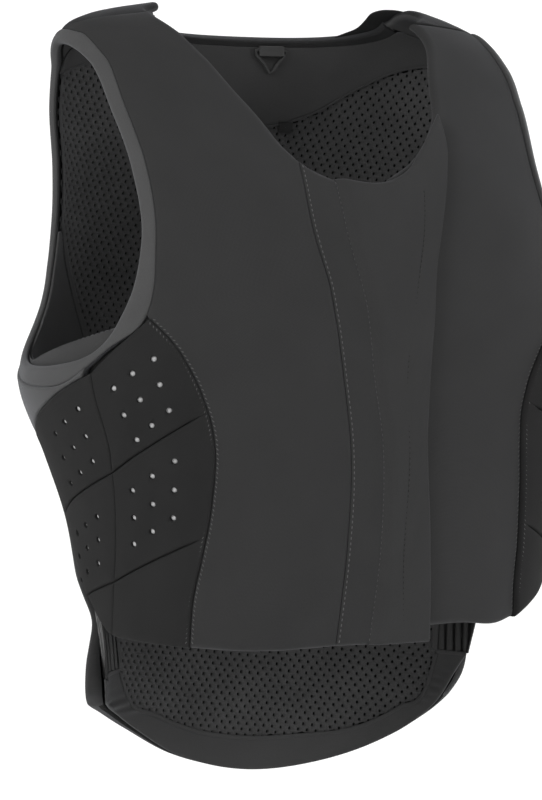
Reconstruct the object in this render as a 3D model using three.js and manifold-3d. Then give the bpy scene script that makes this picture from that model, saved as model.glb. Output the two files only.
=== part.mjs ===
// Protective vest for riders: foam panels under stretch cloth, open at neck, arms and waist.
// Millimetres, Z up. The front faces -Y and the wearer's left side is +X.
// Every piece is a sheet laid over one torso form. A place on the form is [angle, height]:
// angle in degrees round the body (0 front middle, 90 wearer's left, 180 back middle).

import * as THREE from "three";
import Module from "manifold-3d";

// Main sizes of the torso form, which the whole part follows
const TORSO_WIDTH = 412;
const TORSO_DEPTH = 219;
const TORSO_LENGTH = 580;

// Thicknesses and clearances
const LINING = 2.0;
const LAYER_GAP = 0.9;
const BEND_ALLOWANCE = 0.95;
const SEAM_GAP = 0.3;
const FRONT_FOAM = 9.0;
const LEFT_FRONT_FOAM = 6.5;
const SIDE_FOAM = 8.5;
const BACK_FOAM = 12.0;
const BACK_SIDE_THINNING = 4.4;
const BAND_THICKNESS = 7.0;
const ARMHOLE_LIP = 4.5;
const FLAP_THICKNESS = 2.6;
const CLOSURE_THICKNESS = 1.2;
const BINDING_HEIGHT = 4.5;
const EDGE_SOFTNESS = 3.0;
const EDGE_DROP = 2.4;

// Perforations of the side pads
const HOLE_DIAMETER = 4.2;
const HOLE_DEPTH = 5.0;
const HOLE_SIDES = 6;

// Hanging loop and size label inside the neck
const LOOP_WIRE = 2.4;
const LOOP_CLEARANCE = 0.6;
const LABEL_THICKNESS = 1.2;

// Depths measured out from the torso form
const FOAM_START = LINING + LAYER_GAP;
const FRONT_START = LAYER_GAP;
const FRONT_FACE = FRONT_START + FRONT_FOAM;
const LEFT_FACE = FRONT_START + LEFT_FRONT_FOAM;
const SIDE_FACE = FOAM_START + SIDE_FOAM;
const BENT_START = FOAM_START + BEND_ALLOWANCE;
const BACK_FACE = BENT_START + BACK_FOAM;
const BAND_FACE = FRONT_START + BAND_THICKNESS;
const CLOSURE_START = LEFT_FACE + LAYER_GAP;
const FLAP_START = CLOSURE_START + CLOSURE_THICKNESS + LAYER_GAP;
const FLAP_FACE = FLAP_START + FLAP_THICKNESS;

// Torso form, one row per horizontal section: height, half width on the wearer's right and left,
// front depth, back depth, y of the widest line, squareness
const FORM = [
  [-580, 146, 146, 104, 97, -9, 0.03],
  [-500, 150, 152, 116, 97, -9, 0.03],
  [-440, 155, 154, 121, 97, -9, 0.03],
  [-404, 162, 159, 121, 98, -9, 0.03],
  [-350, 172, 172, 119, 100, -8, 0.03],
  [-300, 190, 190, 118, 101, -7, 0.03],
  [-258, 207, 205, 117, 100, -5, 0.03],
  [-216, 206, 200, 117, 93, -2, 0.03],
  [-185, 196, 191, 115, 90, 0, 0.03],
  [-150, 188, 186, 108, 85, 0, 0.03],
  [-110, 186, 185, 94, 72, 5, 0.015],
  [-65, 185, 186, 72, 49, 16, 0.005],
  [-38, 180, 176, 58, 41, 21, 0],
  [-20, 175, 156, 47, 35, 25, 0],
  [-9, 162, 134, 38, 30, 27, 0],
  [-3, 140, 118, 32, 27, 29, 0],
  [3, 101, 97, 25, 23, 31, 0],
  [10, 78, 78, 18, 18, 32, 0],
];

// Seam and edge lines, each row [angle, height], on the wearer's right side unless named LEFT.
// Angles past -180 run on round the back to the wearer's left side.
const ARMHOLE_OPENING = [
  [-92, -24], [-76, -27], [-66, -44], [-60, -76], [-57, -115], [-55, -160], [-56.5, -205],
  [-63.5, -232], [-78, -242], [-97, -243], [-113, -233], [-122, -209], [-119.5, -176],
  [-114.5, -145], [-109, -110], [-104, -72], [-98, -40],
];
const ARMHOLE_SEAM = [
  [-91, -16.5], [-72, -20.5], [-62, -36], [-56, -69], [-52.5, -113], [-50.5, -160], [-50, -209],
  [-58.5, -229.5], [-75, -254], [-99, -254], [-118, -241], [-128, -209], [-125.5, -174],
  [-120.5, -143], [-115.5, -108], [-111, -66], [-104, -31],
];
const NECK_RIGHT = [[-52, -5], [-37, -20], [-24, -66], [-19, -94], [-16, -106]];
const NECK_LEFT = [[40, -8], [27, -41], [21, -76], [12, -103], [3, -119]];
const SHOULDER_CORNER_LEFT = [84.5, -15.3];
const NECK_STRIP = [[-16, -106], [-13, -113], [-9, -119]];
const NECK_FLAP = [[-9, -119], [0, -123], [7, -116], [12, -103], [16, -91], [21, -76]];
const NECK_SHOULDER = [[-52, -5], [-70, 0], [-88, 3], [-110, 2], [-128, -3]];
const NECK_SHOULDER_LEFT = [[40, -8], [63, -2], [88, 2], [110, 1], [128, -3]];
const NECK_BACK = [
  [-129, -3], [-142, -8], [-160, -13], [-180, -14.5], [-200, -13.5], [-218, -9], [-231, -3],
];
const SIDE_SEAM = [
  [-50, -209], [-45, -221], [-39, -247], [-37, -274], [-38, -299], [-42, -336], [-47, -373],
  [-51, -402], [-54, -434],
];
const SIDE_SEAM_LEFT = [
  [50, -209], [42, -221], [33, -247], [30, -274], [31, -299], [34, -336], [36, -373],
  [36, -402], [37, -424],
];
const LINE_ONE = [
  [-16, -106], [-15, -152], [-12, -191], [-10, -237], [-10, -321], [-12, -368], [-16, -434],
];
const LINE_TWO = [[-9, -119], [-8, -156], [-5, -202], [-4, -249], [-3, -300], [-4, -358], [-8, -434]];
const FLAP_EDGE = [
  [21, -76], [20, -97], [17, -118], [12, -153], [8, -214], [6, -286], [7, -360], [7, -434],
];
const LEFT_PANEL_EDGE = [[3, -119], [2, -180], [0, -250], [0, -330], [1, -424]];
const HEM_RIGHT = [[-54, -434], [-34, -436], [-16, -434]];
const HEM_LEFT = [[1, -424], [18, -424], [30, -427], [37, -424]];
const PAD_COLUMN = [[-64, -246], [-64, -280], [-67, -312], [-72, -350], [-77, -391], [-83, -431]];
const PAD_COLUMN_LEFT = [[64, -246], [56, -274], [54.5, -302], [57, -340], [60, -381], [62, -403]];
const REAR_SEAM = [
  [-105.5, -348], [-104, -366], [-102, -382], [-98.5, -397], [-92.5, -408], [-89, -419], [-84.5, -429],
];
const REAR_SEAM_LEFT = [[105.5, -346], [104.5, -362], [102, -376], [99, -386], [95, -397]];
const BACK_EDGE = [
  [-118, -241], [-109, -268], [-106, -300], [-105.5, -350], [-107, -385], [-118, -410],
  [-123, -430], [-117, -448], [-109.5, -464], [-109, -477], [-118, -491.5],
];
const BACK_EDGE_LEFT = [
  [118, -241], [109, -268], [106, -300], [105.5, -350], [106, -385], [108, -414], [109, -434],
  [109, -453], [110, -468], [112.5, -487], [118, -503.5],
];
const MESH_SIDE = [[-100.5, -42], [-104.5, -72], [-109.5, -110], [-115, -147]];
const LINING_EDGE = [[-118.5, -152], [-127, -176], [-138, -212], [-144, -250], [-140, -310], [-131, -399]];
const LINING_EDGE_LEFT = [[118.5, -152], [127, -176], [136, -212], [138, -250], [130, -310], [120, -399]];
const WAIST_REAR = [[-131, -399], [-131, -430], [-132, -469]];
const WAIST_REAR_LEFT = [[120, -399], [119, -430], [119.5, -469]];
const WAIST_FRONT = [[-100, -414], [-101, -440], [-105, -469]];
const WAIST_FRONT_LEFT = [[100, -405], [101, -440], [105, -469]];
const CLOSURE_FRONT = [[5, -140], [3.3, -190], [1.7, -250], [1.7, -330], [2.6, -415]];
const CLOSURE_REAR = [[10, -140], [7.3, -190], [4.9, -250], [4.6, -330], [5.2, -415]];
const YOKE_SEAM = [
  [-100.5, -42], [-117, -36], [-130, -32], [-144, -37], [-157, -51], [-168, -68], [-180, -77],
  [-192, -68], [-203, -51], [-216, -37], [-230, -32], [-243, -36], [-259.5, -42],
];
const TAIL_MESH = [
  [-132, -470], [-136, -488], [-150, -507], [-165, -523], [-180, -531], [-195, -532],
  [-210, -529], [-226, -513], [-237, -494], [-240.5, -470],
];
const TAIL_EDGE = [
  [-106, -470], [-109.5, -483], [-118, -491.5], [-130, -501.5], [-142, -516], [-159, -539.5],
  [-180, -555], [-201, -552], [-219.5, -538], [-232, -522.5], [-242, -503.5], [-247, -488],
  [-251, -477], [-254, -470],
];

// Groove lines across the side pads, heights at the side seam, the pad column and the rear seam
const GROOVES_RIGHT = [
  [-211.5, -246, -289],
  [-272, -312, -348],
  [-357, -391, -404],
  [-434, -431, -429],
];
const GROOVES_LEFT = [
  [-211.5, -246, -289],
  [-272, -302, -346],
  [-357, -381, -380],
  [-424, -403, -397],
];

// Blind holes of the pads, three rows of three:
// pad, angle and height of the first hole, step along a row, step down to the next row
const PERFORATIONS = [
  ["upper_front", [-47.5, -237], [-5.2, -9.3], [1.0, -16.5]],
  ["upper_rear", [-70, -268], [-7, -8.5], [-1.2, -18]],
  ["lower_front", [-48, -304], [-7, -9.8], [-2.2, -19.5]],
  ["lower_rear", [-78.5, -344], [-7, -7.5], [-2.2, -17.5]],
];
const PERFORATION_SHIFT_LEFT = [9, 0];

// Plain working numbers
const largest = (values) => Math.max(...values);
const STRETCH = new THREE.Vector3(
  TORSO_WIDTH / largest(FORM.map(([, right, left]) => right + left)),
  TORSO_DEPTH / largest(FORM.map(([, , , front, back]) => front + back)),
  TORSO_LENGTH / largest(FORM.map(([height]) => -height)),
);
const RADIANS = Math.PI / 180;
const UP = new THREE.Vector3(0, 0, 1);
const { Manifold, Mesh: SolidMesh } = await startSolids();

async function startSolids() {
  const solids = await Module();
  solids.setup();
  return solids;
}

// A smooth value through rows at x, where column X holds x and column Y the value
function smooth(rows, x, columnX, columnY) {
  const sign = rows[rows.length - 1][columnX] > rows[0][columnX] ? 1 : -1;
  const last = rows.length - 2;
  let i = 0;
  while (i < last && sign * x > sign * rows[i + 1][columnX]) {
    i += 1;
  }
  const slope = (j) => {
    const step = rows[j + 1][columnX] - rows[j][columnX];
    return (rows[j + 1][columnY] - rows[j][columnY]) / step;
  };
  const tangent = (j) => {
    if (j === 0) {
      return slope(0);
    }
    if (j === rows.length - 1) {
      return slope(j - 1);
    }
    const before = Math.abs(rows[j][columnX] - rows[j - 1][columnX]);
    const after = Math.abs(rows[j + 1][columnX] - rows[j][columnX]);
    return (slope(j - 1) * after + slope(j) * before) / (before + after);
  };
  const width = rows[i + 1][columnX] - rows[i][columnX];
  const t = Math.min(1, Math.max(0, (x - rows[i][columnX]) / width));
  const s = 1 - t;
  return (
    (1 + 2 * t) * s * s * rows[i][columnY]
    + t * s * s * width * tangent(i)
    + t * t * (3 - 2 * t) * rows[i + 1][columnY]
    - t * t * s * width * tangent(i + 1)
  );
}

// The torso form itself, and the place a given depth outside it
function formPoint(angle, height) {
  const column = (c) => smooth(FORM, height, 0, c);
  const [right, left, front, back, middle, square] = [1, 2, 3, 4, 5, 6].map(column);
  const u = angle * RADIANS;
  const halfWidth = Math.sin(u) < 0 ? right : left;
  const depth = Math.cos(u) >= 0 ? front : back;
  return new THREE.Vector3(
    halfWidth * (Math.sin(u) + square * Math.sin(3 * u)) / (1 - square),
    middle - depth * (Math.cos(u) - square * Math.cos(3 * u)) / (1 - square),
    height,
  ).multiply(STRETCH);
}

function formNormal(angle, height) {
  const round = formPoint(angle + 0.2, height).sub(formPoint(angle - 0.2, height));
  const up = formPoint(angle, height + 0.5).sub(formPoint(angle, height - 0.5));
  return round.cross(up).normalize();
}

function onForm([angle, height], depth) {
  return formPoint(angle, height).addScaledVector(formNormal(angle, height), depth);
}

// Distance on the form between two near places
function reach(a, b) {
  return formPoint(...a).distanceTo(formPoint(...b));
}

// Points of a seam line: down by height, across by angle, or through the rows by their order
function down(rows, top, bottom, steps) {
  return Array.from({ length: steps + 1 }, (_, i) => {
    const height = top + (bottom - top) * i / steps;
    return [smooth(rows, height, 1, 0), height];
  });
}

function across(rows, from, to, parts) {
  return parts.map((part) => {
    const angle = from + (to - from) * part;
    return [angle, smooth(rows, angle, 0, 1)];
  });
}

// A line over its whole table, by height or by angle
const fullDown = (rows, steps) => down(rows, rows[0][1], rows[rows.length - 1][1], steps);
const fullAcross = (rows, parts) => across(rows, rows[0][0], rows[rows.length - 1][0], parts);

// Parts of a line from 0 to 1, evenly spaced or closer together toward both ends
function even(steps) {
  return Array.from({ length: steps + 1 }, (_, i) => i / steps);
}

function crowded(steps, ease = 0.35) {
  return even(steps).map((part) => part - ease * Math.sin(2 * Math.PI * part) / (2 * Math.PI));
}

function through(rows, steps, closed = false, from = 0, to = closed ? rows.length : rows.length - 1) {
  const count = rows.length;
  const row = (i) => {
    if (closed) {
      return rows[((i % count) + count) % count];
    }
    if (i < 0) {
      return rows[0].map((v, c) => 2 * v - rows[1][c]);
    }
    return i < count ? rows[i] : rows[count - 1].map((v, c) => 2 * v - rows[count - 2][c]);
  };
  return Array.from({ length: steps + 1 }, (_, k) => {
    const at = from + (to - from) * k / steps;
    const i = closed ? Math.floor(at) : Math.min(Math.floor(at), count - 2);
    const t = at - i;
    const [a, b, c, d] = [row(i - 1), row(i), row(i + 1), row(i + 2)];
    return [0, 1].map((n) => 0.5 * (
      2 * b[n]
      + (c[n] - a[n]) * t
      + (2 * a[n] - 5 * b[n] + 4 * c[n] - d[n]) * t * t
      + (3 * b[n] - a[n] - 3 * c[n] + d[n]) * t * t * t
    ));
  });
}

function straight(a, b, steps) {
  return Array.from({ length: steps + 1 }, (_, i) => [0, 1].map((n) => a[n] + (b[n] - a[n]) * i / steps));
}

// The same line with its first spans halved until it has the wanted number
function refined(line, steps) {
  const halved = steps - (line.length - 1);
  return chain(...line.slice(1).map((place, i) => straight(line[i], place, i < halved ? 2 : 1)));
}

// The last place of a line
const lastOf = (line) => line[line.length - 1];

// Lines end to end, mirrored to the other side, or counted on round the back
function chain(...lines) {
  return lines.flatMap((line, i) => (i === 0 ? line : line.slice(1)));
}

function mirror(line) {
  return line.map(([angle, height]) => [-angle, height]);
}

function pastBack(line) {
  return line.map(([angle, height]) => [angle - 360, height]);
}

// Grid of places inside four border lines, pulled in by the seam gap. A soft distance adds a line
// of places that far inside each edge.
function field({ top, bottom, left, right, soft = 0, parts = even(top.length - 1) }) {
  const rows = left.length - 1;
  const columns = top.length - 1;
  const inside = (i, j) => {
    const s = parts[j];
    const t = i / rows;
    return [0, 1].map((n) => (
      (1 - t) * top[j][n] + t * bottom[j][n] + (1 - s) * left[i][n] + s * right[i][n]
      - (1 - s) * (1 - t) * top[0][n] - s * (1 - t) * top[columns][n]
      - (1 - s) * t * bottom[0][n] - s * t * bottom[columns][n]
    ));
  };
  let grid = left.map((_, i) => top.map((__, j) => inside(i, j)));
  grid = grid.map((row) => withEdges(row, SEAM_GAP, soft));
  const turned = grid[0].map((_, j) => withEdges(grid.map((row) => row[j]), SEAM_GAP, soft));
  return turned[0].map((_, i) => turned.map((column) => column[i]));
}

// A row of places with its ends pulled in by the gap and, when soft, a place added inside each end
function withEdges(row, gap, soft) {
  const toward = (a, b, distance) => {
    const t = Math.min(0.45, distance / reach(a, b));
    return [0, 1].map((n) => a[n] + (b[n] - a[n]) * t);
  };
  const last = row.length - 1;
  return [
    toward(row[0], row[1], gap),
    ...(soft > 0 ? [toward(row[0], row[1], gap + soft)] : []),
    ...row.slice(1, last),
    ...(soft > 0 ? [toward(row[last], row[last - 1], gap + soft)] : []),
    toward(row[last], row[last - 1], gap),
  ];
}

// A closed sheet over a grid of places: inner and outer depth may vary over the grid
function sheet(grid, inner, outer, closedRound = false) {
  const rows = grid.length;
  const columns = grid[0].length;
  const depth = (value, i, j) => (typeof value === "function" ? value(i, j, rows, columns) : value);
  const positions = [];
  for (const side of [outer, inner]) {
    grid.forEach((row, i) => row.forEach((place, j) => {
      positions.push(...onForm(place, depth(side, i, j)).toArray());
    }));
  }
  const outside = (i, j) => (i % rows) * columns + j;
  const within = (i, j) => rows * columns + outside(i, j);
  const faces = [];
  const quad = (a, b, c, d) => faces.push(a, b, c, a, c, d);
  const rowCells = closedRound ? rows : rows - 1;
  for (let i = 0; i < rowCells; i += 1) {
    for (let j = 0; j < columns - 1; j += 1) {
      quad(outside(i, j), outside(i + 1, j), outside(i + 1, j + 1), outside(i, j + 1));
      quad(within(i, j), within(i, j + 1), within(i + 1, j + 1), within(i + 1, j));
    }
    quad(outside(i, 0), within(i, 0), within(i + 1, 0), outside(i + 1, 0));
    const end = columns - 1;
    quad(outside(i, end), outside(i + 1, end), within(i + 1, end), within(i, end));
  }
  for (let j = 0; j < columns - 1 && !closedRound; j += 1) {
    quad(outside(0, j), outside(0, j + 1), within(0, j + 1), within(0, j));
    const end = rows - 1;
    quad(outside(end, j), within(end, j), within(end, j + 1), outside(end, j + 1));
  }
  return facingOut(positions, faces);
}

// Padded depth: full face inside, lower by the edge drop on the border places
function padded(face, drop = EDGE_DROP) {
  return (i, j, rows, columns) => {
    const border = i === 0 || j === 0 || i === rows - 1 || j === columns - 1;
    return border ? face - drop : face;
  };
}

function facingOut(positions, faces) {
  let volume = 0;
  const at = (index) => new THREE.Vector3().fromArray(positions, 3 * index);
  for (let i = 0; i < faces.length; i += 3) {
    const [a, b, c] = [at(faces[i]), at(faces[i + 1]), at(faces[i + 2])];
    volume += a.dot(b.cross(c));
  }
  const indices = volume > 0 ? faces : faces.map((_, i) => faces[i - (i % 3) + (2 - (i % 3))]);
  const geometry = new THREE.BufferGeometry();
  geometry.setAttribute("position", new THREE.Float32BufferAttribute(positions, 3));
  geometry.setIndex(indices);
  return geometry;
}

// Solid cuts and joins
function toSolid(geometry) {
  return new Manifold(new SolidMesh({
    numProp: 3,
    vertProperties: new Float32Array(geometry.attributes.position.array),
    triVerts: new Uint32Array(geometry.index.array),
  }));
}

function fromSolid(solid) {
  const { vertProperties, triVerts } = solid.getMesh();
  const geometry = new THREE.BufferGeometry();
  geometry.setAttribute("position", new THREE.BufferAttribute(new Float32Array(vertProperties), 3));
  geometry.setIndex([...triVerts]);
  return geometry;
}

function perforated(geometry, places, face) {
  const cutters = places.map((place) => {
    const rim = even(HOLE_SIDES).slice(1).map((part) => new THREE.Vector2(
      HOLE_DIAMETER / 2 * Math.cos(2 * Math.PI * part),
      HOLE_DIAMETER / 2 * Math.sin(2 * Math.PI * part),
    ));
    const outline = new THREE.Shape(rim);
    const drill = new THREE.ExtrudeGeometry(outline, { depth: 2 * HOLE_DEPTH, bevelEnabled: false });
    drill.translate(0, 0, -HOLE_DEPTH);
    drill.applyQuaternion(new THREE.Quaternion().setFromUnitVectors(UP, formNormal(...place)));
    drill.translate(...onForm(place, face).toArray());
    return toSolid(welded(drill));
  });
  return fromSolid(toSolid(geometry).subtract(Manifold.union(cutters)));
}

// The same body with its doubled vertices merged
function welded(geometry) {
  const seen = new Map();
  const positions = [];
  const source = geometry.attributes.position;
  const unshared = Array.from({ length: source.count }, (_, i) => i);
  const corners = geometry.index ? [...geometry.index.array] : unshared;
  const number = Array.from({ length: source.count }, (_, i) => {
    const point = [source.getX(i), source.getY(i), source.getZ(i)];
    const key = point.map((v) => v.toFixed(4)).join();
    if (!seen.has(key)) {
      seen.set(key, seen.size);
      positions.push(...point);
    }
    return seen.get(key);
  });
  const faces = [];
  for (let i = 0; i < corners.length; i += 3) {
    const face = [0, 1, 2].map((k) => number[corners[i + k]]);
    if (new Set(face).size === 3) {
      faces.push(...face);
    }
  }
  return facingOut(positions, faces);
}

// Cloth colours
const CLOTHS = {
  softshell: 0x3a3b3e,
  bevel: 0x4b4c4f,
  perforatedCloth: 0x26272a,
  stretchBand: 0x17181a,
  mesh: 0x2c2d30,
  plainLining: 0x333437,
  binding: 0x1a1b1d,
  hookTape: 0x101113,
  label: 0x0c0c0d,
};

const vest = new THREE.Group();
vest.name = "protective_vest";

function add(name, geometry, cloth, roughness = 0.9) {
  geometry.computeVertexNormals();
  const material = new THREE.MeshStandardMaterial({ color: CLOTHS[cloth], roughness, metalness: 0 });
  material.name = name;
  const mesh = new THREE.Mesh(geometry, material);
  mesh.name = name;
  vest.add(mesh);
}

// Arm opening lines, by place in their tables, with closer places where the ridge bends
const armholeRight = (steps, from, to) => through(ARMHOLE_SEAM, steps, true, from, to);
const openingRight = (steps, from, to) => through(ARMHOLE_OPENING, steps, true, from, to);

// A side seam from the armhole to the hem, with the grooves' ends among its places
const seamRows = (seam, grooves) => chain(
  down(seam, seam[0][1], grooves[0][0], 1),
  down(seam, grooves[0][0], grooves[1][0], 4),
  down(seam, grooves[1][0], grooves[2][0], 4),
  down(seam, grooves[2][0], grooves[3][0], 3),
);

// Right front panel, from the shoulder to the hem, between armhole and first stitched line
add("front_panel_right", sheet(field({
  left: chain(armholeRight(12, 0, 6), seamRows(SIDE_SEAM, GROOVES_RIGHT)),
  right: chain(through(NECK_RIGHT, 8), fullDown(LINE_ONE, 16)),
  top: straight(ARMHOLE_SEAM[0], NECK_RIGHT[0], 5),
  bottom: fullAcross(HEM_RIGHT, even(5)),
  soft: EDGE_SOFTNESS,
}), FRONT_START, padded(FRONT_FACE)), "softshell");

// Narrow strip between the first and second stitched lines
add("front_strip_right", sheet(field({
  left: fullDown(LINE_ONE, 16),
  right: fullDown(LINE_TWO, 16),
  top: through(NECK_STRIP, 2),
  bottom: straight(lastOf(LINE_ONE), lastOf(LINE_TWO), 2),
}), FRONT_START, padded(FRONT_FACE, EDGE_DROP / 2)), "softshell");

// Flap over the front opening, thick at its root and thin where it lies on the left panel
const flapInner = (i, j) => (j < 2 ? FRONT_START : FLAP_START);
const flapOuter = (i, j, rows, columns) => {
  const root = j < 2 ? FRONT_FACE - (1 - j) * EDGE_DROP / 2 : FLAP_FACE;
  return j === columns - 1 ? FLAP_FACE - FLAP_THICKNESS / 3 : root;
};
add("placket_flap", sheet(field({
  left: fullDown(LINE_TWO, 11),
  right: fullDown(FLAP_EDGE, 11),
  top: through(NECK_FLAP, 5),
  bottom: straight(lastOf(LINE_TWO), lastOf(FLAP_EDGE), 5),
  soft: EDGE_SOFTNESS,
}), flapInner, flapOuter), "softshell");

add("closure_strip", sheet(field({
  left: fullDown(CLOSURE_FRONT, 9),
  right: fullDown(CLOSURE_REAR, 9),
  top: straight(CLOSURE_FRONT[0], CLOSURE_REAR[0], 1),
  bottom: straight(lastOf(CLOSURE_FRONT), lastOf(CLOSURE_REAR), 1),
}), CLOSURE_START, CLOSURE_START + CLOSURE_THICKNESS), "hookTape");

// Left front panel, running on under the flap
const leftArmhole = [SHOULDER_CORNER_LEFT, ...mirror(armholeRight(12, 0, 6)).slice(1)];
add("front_panel_left", sheet(field({
  left: chain(through(NECK_LEFT, 8), fullDown(LEFT_PANEL_EDGE, 16)),
  right: chain(leftArmhole, seamRows(SIDE_SEAM_LEFT, GROOVES_LEFT)),
  top: straight(NECK_LEFT[0], SHOULDER_CORNER_LEFT, 5),
  bottom: fullAcross(HEM_LEFT, even(5)),
  soft: EDGE_SOFTNESS,
}), FRONT_START, padded(LEFT_FACE)), "softshell");

// Pieces that come once on each side
const SIDES = [
  {
    name: "right",
    turn: (line) => line,
    neck: NECK_SHOULDER,
    seam: SIDE_SEAM,
    column: PAD_COLUMN,
    rear: REAR_SEAM,
    back: BACK_EDGE,
    grooves: GROOVES_RIGHT,
    lining: LINING_EDGE,
    waistRear: WAIST_REAR,
    waistFront: WAIST_FRONT,
    shift: [0, 0],
  },
  {
    name: "left",
    turn: mirror,
    neck: NECK_SHOULDER_LEFT,
    seam: SIDE_SEAM_LEFT,
    column: PAD_COLUMN_LEFT,
    rear: REAR_SEAM_LEFT,
    back: mirror(BACK_EDGE_LEFT),
    grooves: GROOVES_LEFT,
    lining: LINING_EDGE_LEFT,
    waistRear: WAIST_REAR_LEFT,
    waistFront: WAIST_FRONT_LEFT,
    shift: PERFORATION_SHIFT_LEFT,
  },
];

// Rear edge of a side lining, where the mesh lining meets it
const liningEdge = (rows) => fullDown(rows, 10);

// Place on a seam line at a height
const placeAt = (rows, height) => [smooth(rows, height, 1, 0), height];

for (const side of SIDES) {
  const backEdge = side.turn(side.back);

  // Bevelled edge round the arm opening, thin at the opening and thick at the panels
  const lip = FOAM_START + ARMHOLE_LIP;
  const bevel = [lip, SIDE_FACE - 0.6, SIDE_FACE - EDGE_DROP];
  const once = (line) => chain(line(31, 0, 15.5), line(2, 15.5, 16), line(8, 16, 17)).slice(0, 41);
  const loop = (line) => side.turn(once(line));
  const outerEdge = loop(armholeRight);
  const ring = loop(openingRight).map((place, i) => (
    withEdges(straight(place, outerEdge[i], 4).filter((_, k) => k !== 1 && k !== 2), SEAM_GAP, 0)
  ));
  add(`armhole_edge_${side.name}`, sheet(ring, FOAM_START, (i, j) => bevel[j], true), "bevel");

  // Stretch band over the shoulder
  const ridge = side.turn(armholeRight(8, 17, 16));
  add(`shoulder_band_${side.name}`, sheet(field({
    left: ridge,
    right: through(side.neck, 8),
    top: straight(ridge[0], side.neck[0], 5),
    bottom: straight(ridge[8], lastOf(side.neck), 5),
  }), FRONT_START, padded(BAND_FACE)), "stretchBand");

  // Plain gusset under the arm, between the armhole and the first groove
  const [first] = side.grooves;
  const columnTop = placeAt(side.column, first[1]);
  const rearTop = placeAt(backEdge, first[2]);
  const tip = straight(columnTop, rearTop, 14)[1];
  add(`underarm_gusset_${side.name}`, sheet(field({
    top: side.turn(armholeRight(5, 10, 7.5)),
    bottom: straight(rearTop, tip, 5),
    left: down(backEdge, backEdge[0][1], first[2], 3),
    right: straight(side.turn(armholeRight(1, 7.5, 8))[0], tip, 3),
  }), BENT_START, padded(SIDE_FACE)), "perforatedCloth");

  // Foam pads in two columns with grooves between them
  const bands = [["upper", 4], ["lower", 4], ["hem", 3]];
  bands.forEach(([band, steps], k) => {
    const [topSeam, topColumn, topRear] = side.grooves[k];
    const [lowSeam, lowColumn, lowRear] = side.grooves[k + 1];
    const rearRows = k === 0 ? backEdge : side.rear;
    const seam = down(side.seam, topSeam, lowSeam, steps);
    const column = down(side.column, topColumn, lowColumn, steps);
    const rear = down(rearRows, topRear, lowRear, steps);
    for (const [place, left, right, wide] of [["front", column, seam, 3], ["rear", rear, column, 4]]) {
      const name = `${band}_${place}`;
      const wideSteps = band === "hem" ? 3 : wide;
      let pad = sheet(field({
        left,
        right,
        top: straight(left[0], right[0], wideSteps),
        bottom: straight(left[steps], right[steps], wideSteps),
      }), BENT_START, padded(SIDE_FACE));
      const holes = PERFORATIONS.find(([key]) => key === name);
      if (holes) {
        pad = perforated(pad, holePlaces(holes, side), SIDE_FACE);
      }
      add(`pad_${name}_${side.name}`, pad, "perforatedCloth");
    }
  });

  // Plain lining behind the pads, its rear edge against the mesh lining
  const under = side.turn(openingRight(7, 12.75, 6.3));
  const liningRight = [...under, ...seamRows(side.seam, side.grooves).slice(2)];
  const last = liningRight.length - 1;
  const liningLeft = refined(liningEdge(side.lining), last);
  const columnLow = placeAt(side.column, side.grooves[3][1]);
  add(`side_lining_${side.name}`, sheet(field({
    left: liningLeft,
    right: liningRight,
    top: straight(liningLeft[0], liningRight[0], 7),
    bottom: chain(
      straight(liningLeft[last], side.waistFront[0], 3),
      straight(side.waistFront[0], columnLow, 2),
      straight(columnLow, liningRight[last], 2),
    ),
  }), 0, LINING), "plainLining");

  // Stretch strip at the side of the tail
  add(`waist_band_${side.name}`, sheet(field({
    left: fullDown(side.waistRear, 3),
    right: fullDown(side.waistFront, 3),
    top: straight(side.waistRear[0], side.waistFront[0], 4),
    bottom: straight(side.waistRear[2], side.waistFront[2], 4),
  }), 0, LINING), "stretchBand", 0.6);
}

// Centres of a pad's blind holes
function holePlaces([, first, along, step], side) {
  const places = [0, 1, 2].flatMap((row) => [0, 1, 2].map((column) => (
    [0, 1].map((n) => first[n] + column * along[n] + row * step[n] + side.shift[n])
  )));
  return side.turn(places);
}

// Back panel with its long rounded tail. Its top runs down from the bound neck to the armholes.
const BACK_PARTS = crowded(14);
const shoulderSeam = [ARMHOLE_SEAM[16], NECK_SHOULDER[4]];
const backTopAt = (angle) => {
  const [[outerAngle, outerHeight], [innerAngle, innerHeight]] = shoulderSeam;
  const fromSide = angle < -180 ? -360 - angle : angle;
  const slope = (innerHeight - outerHeight) / (innerAngle - outerAngle);
  const along = outerHeight + slope * (fromSide - outerAngle) - 2 * SEAM_GAP;
  const under = smooth(NECK_BACK, angle, 0, 1) - BINDING_HEIGHT - SEAM_GAP;
  return fromSide > innerAngle ? Math.min(along, NECK_BACK[0][1] - BINDING_HEIGHT) : under;
};
const backTop = BACK_PARTS.map((part) => {
  const angle = ARMHOLE_SEAM[16][0] + part * (-360 - 2 * ARMHOLE_SEAM[16][0]);
  return [angle, backTopAt(angle)];
});
const backArmhole = chain(
  [backTop[0], ...armholeRight(2, 16, 15.5).slice(1)],
  armholeRight(11, 15.5, 10),
);
const belowArmhole = (edge, [first, second]) => chain(
  down(edge, edge[0][1], first[2], 3),
  down(edge, first[2], second[2], 3),
  down(edge, second[2], lastOf(edge)[1], 7),
);
const backRight = chain(backArmhole, belowArmhole(BACK_EDGE, GROOVES_RIGHT));
const backLeft = pastBack(chain(mirror(backArmhole), belowArmhole(BACK_EDGE_LEFT, GROOVES_LEFT)));
const ease = (t) => t * t * (3 - 2 * t);
const share = (t) => ease(Math.min(1, Math.max(0, t)));

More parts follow.
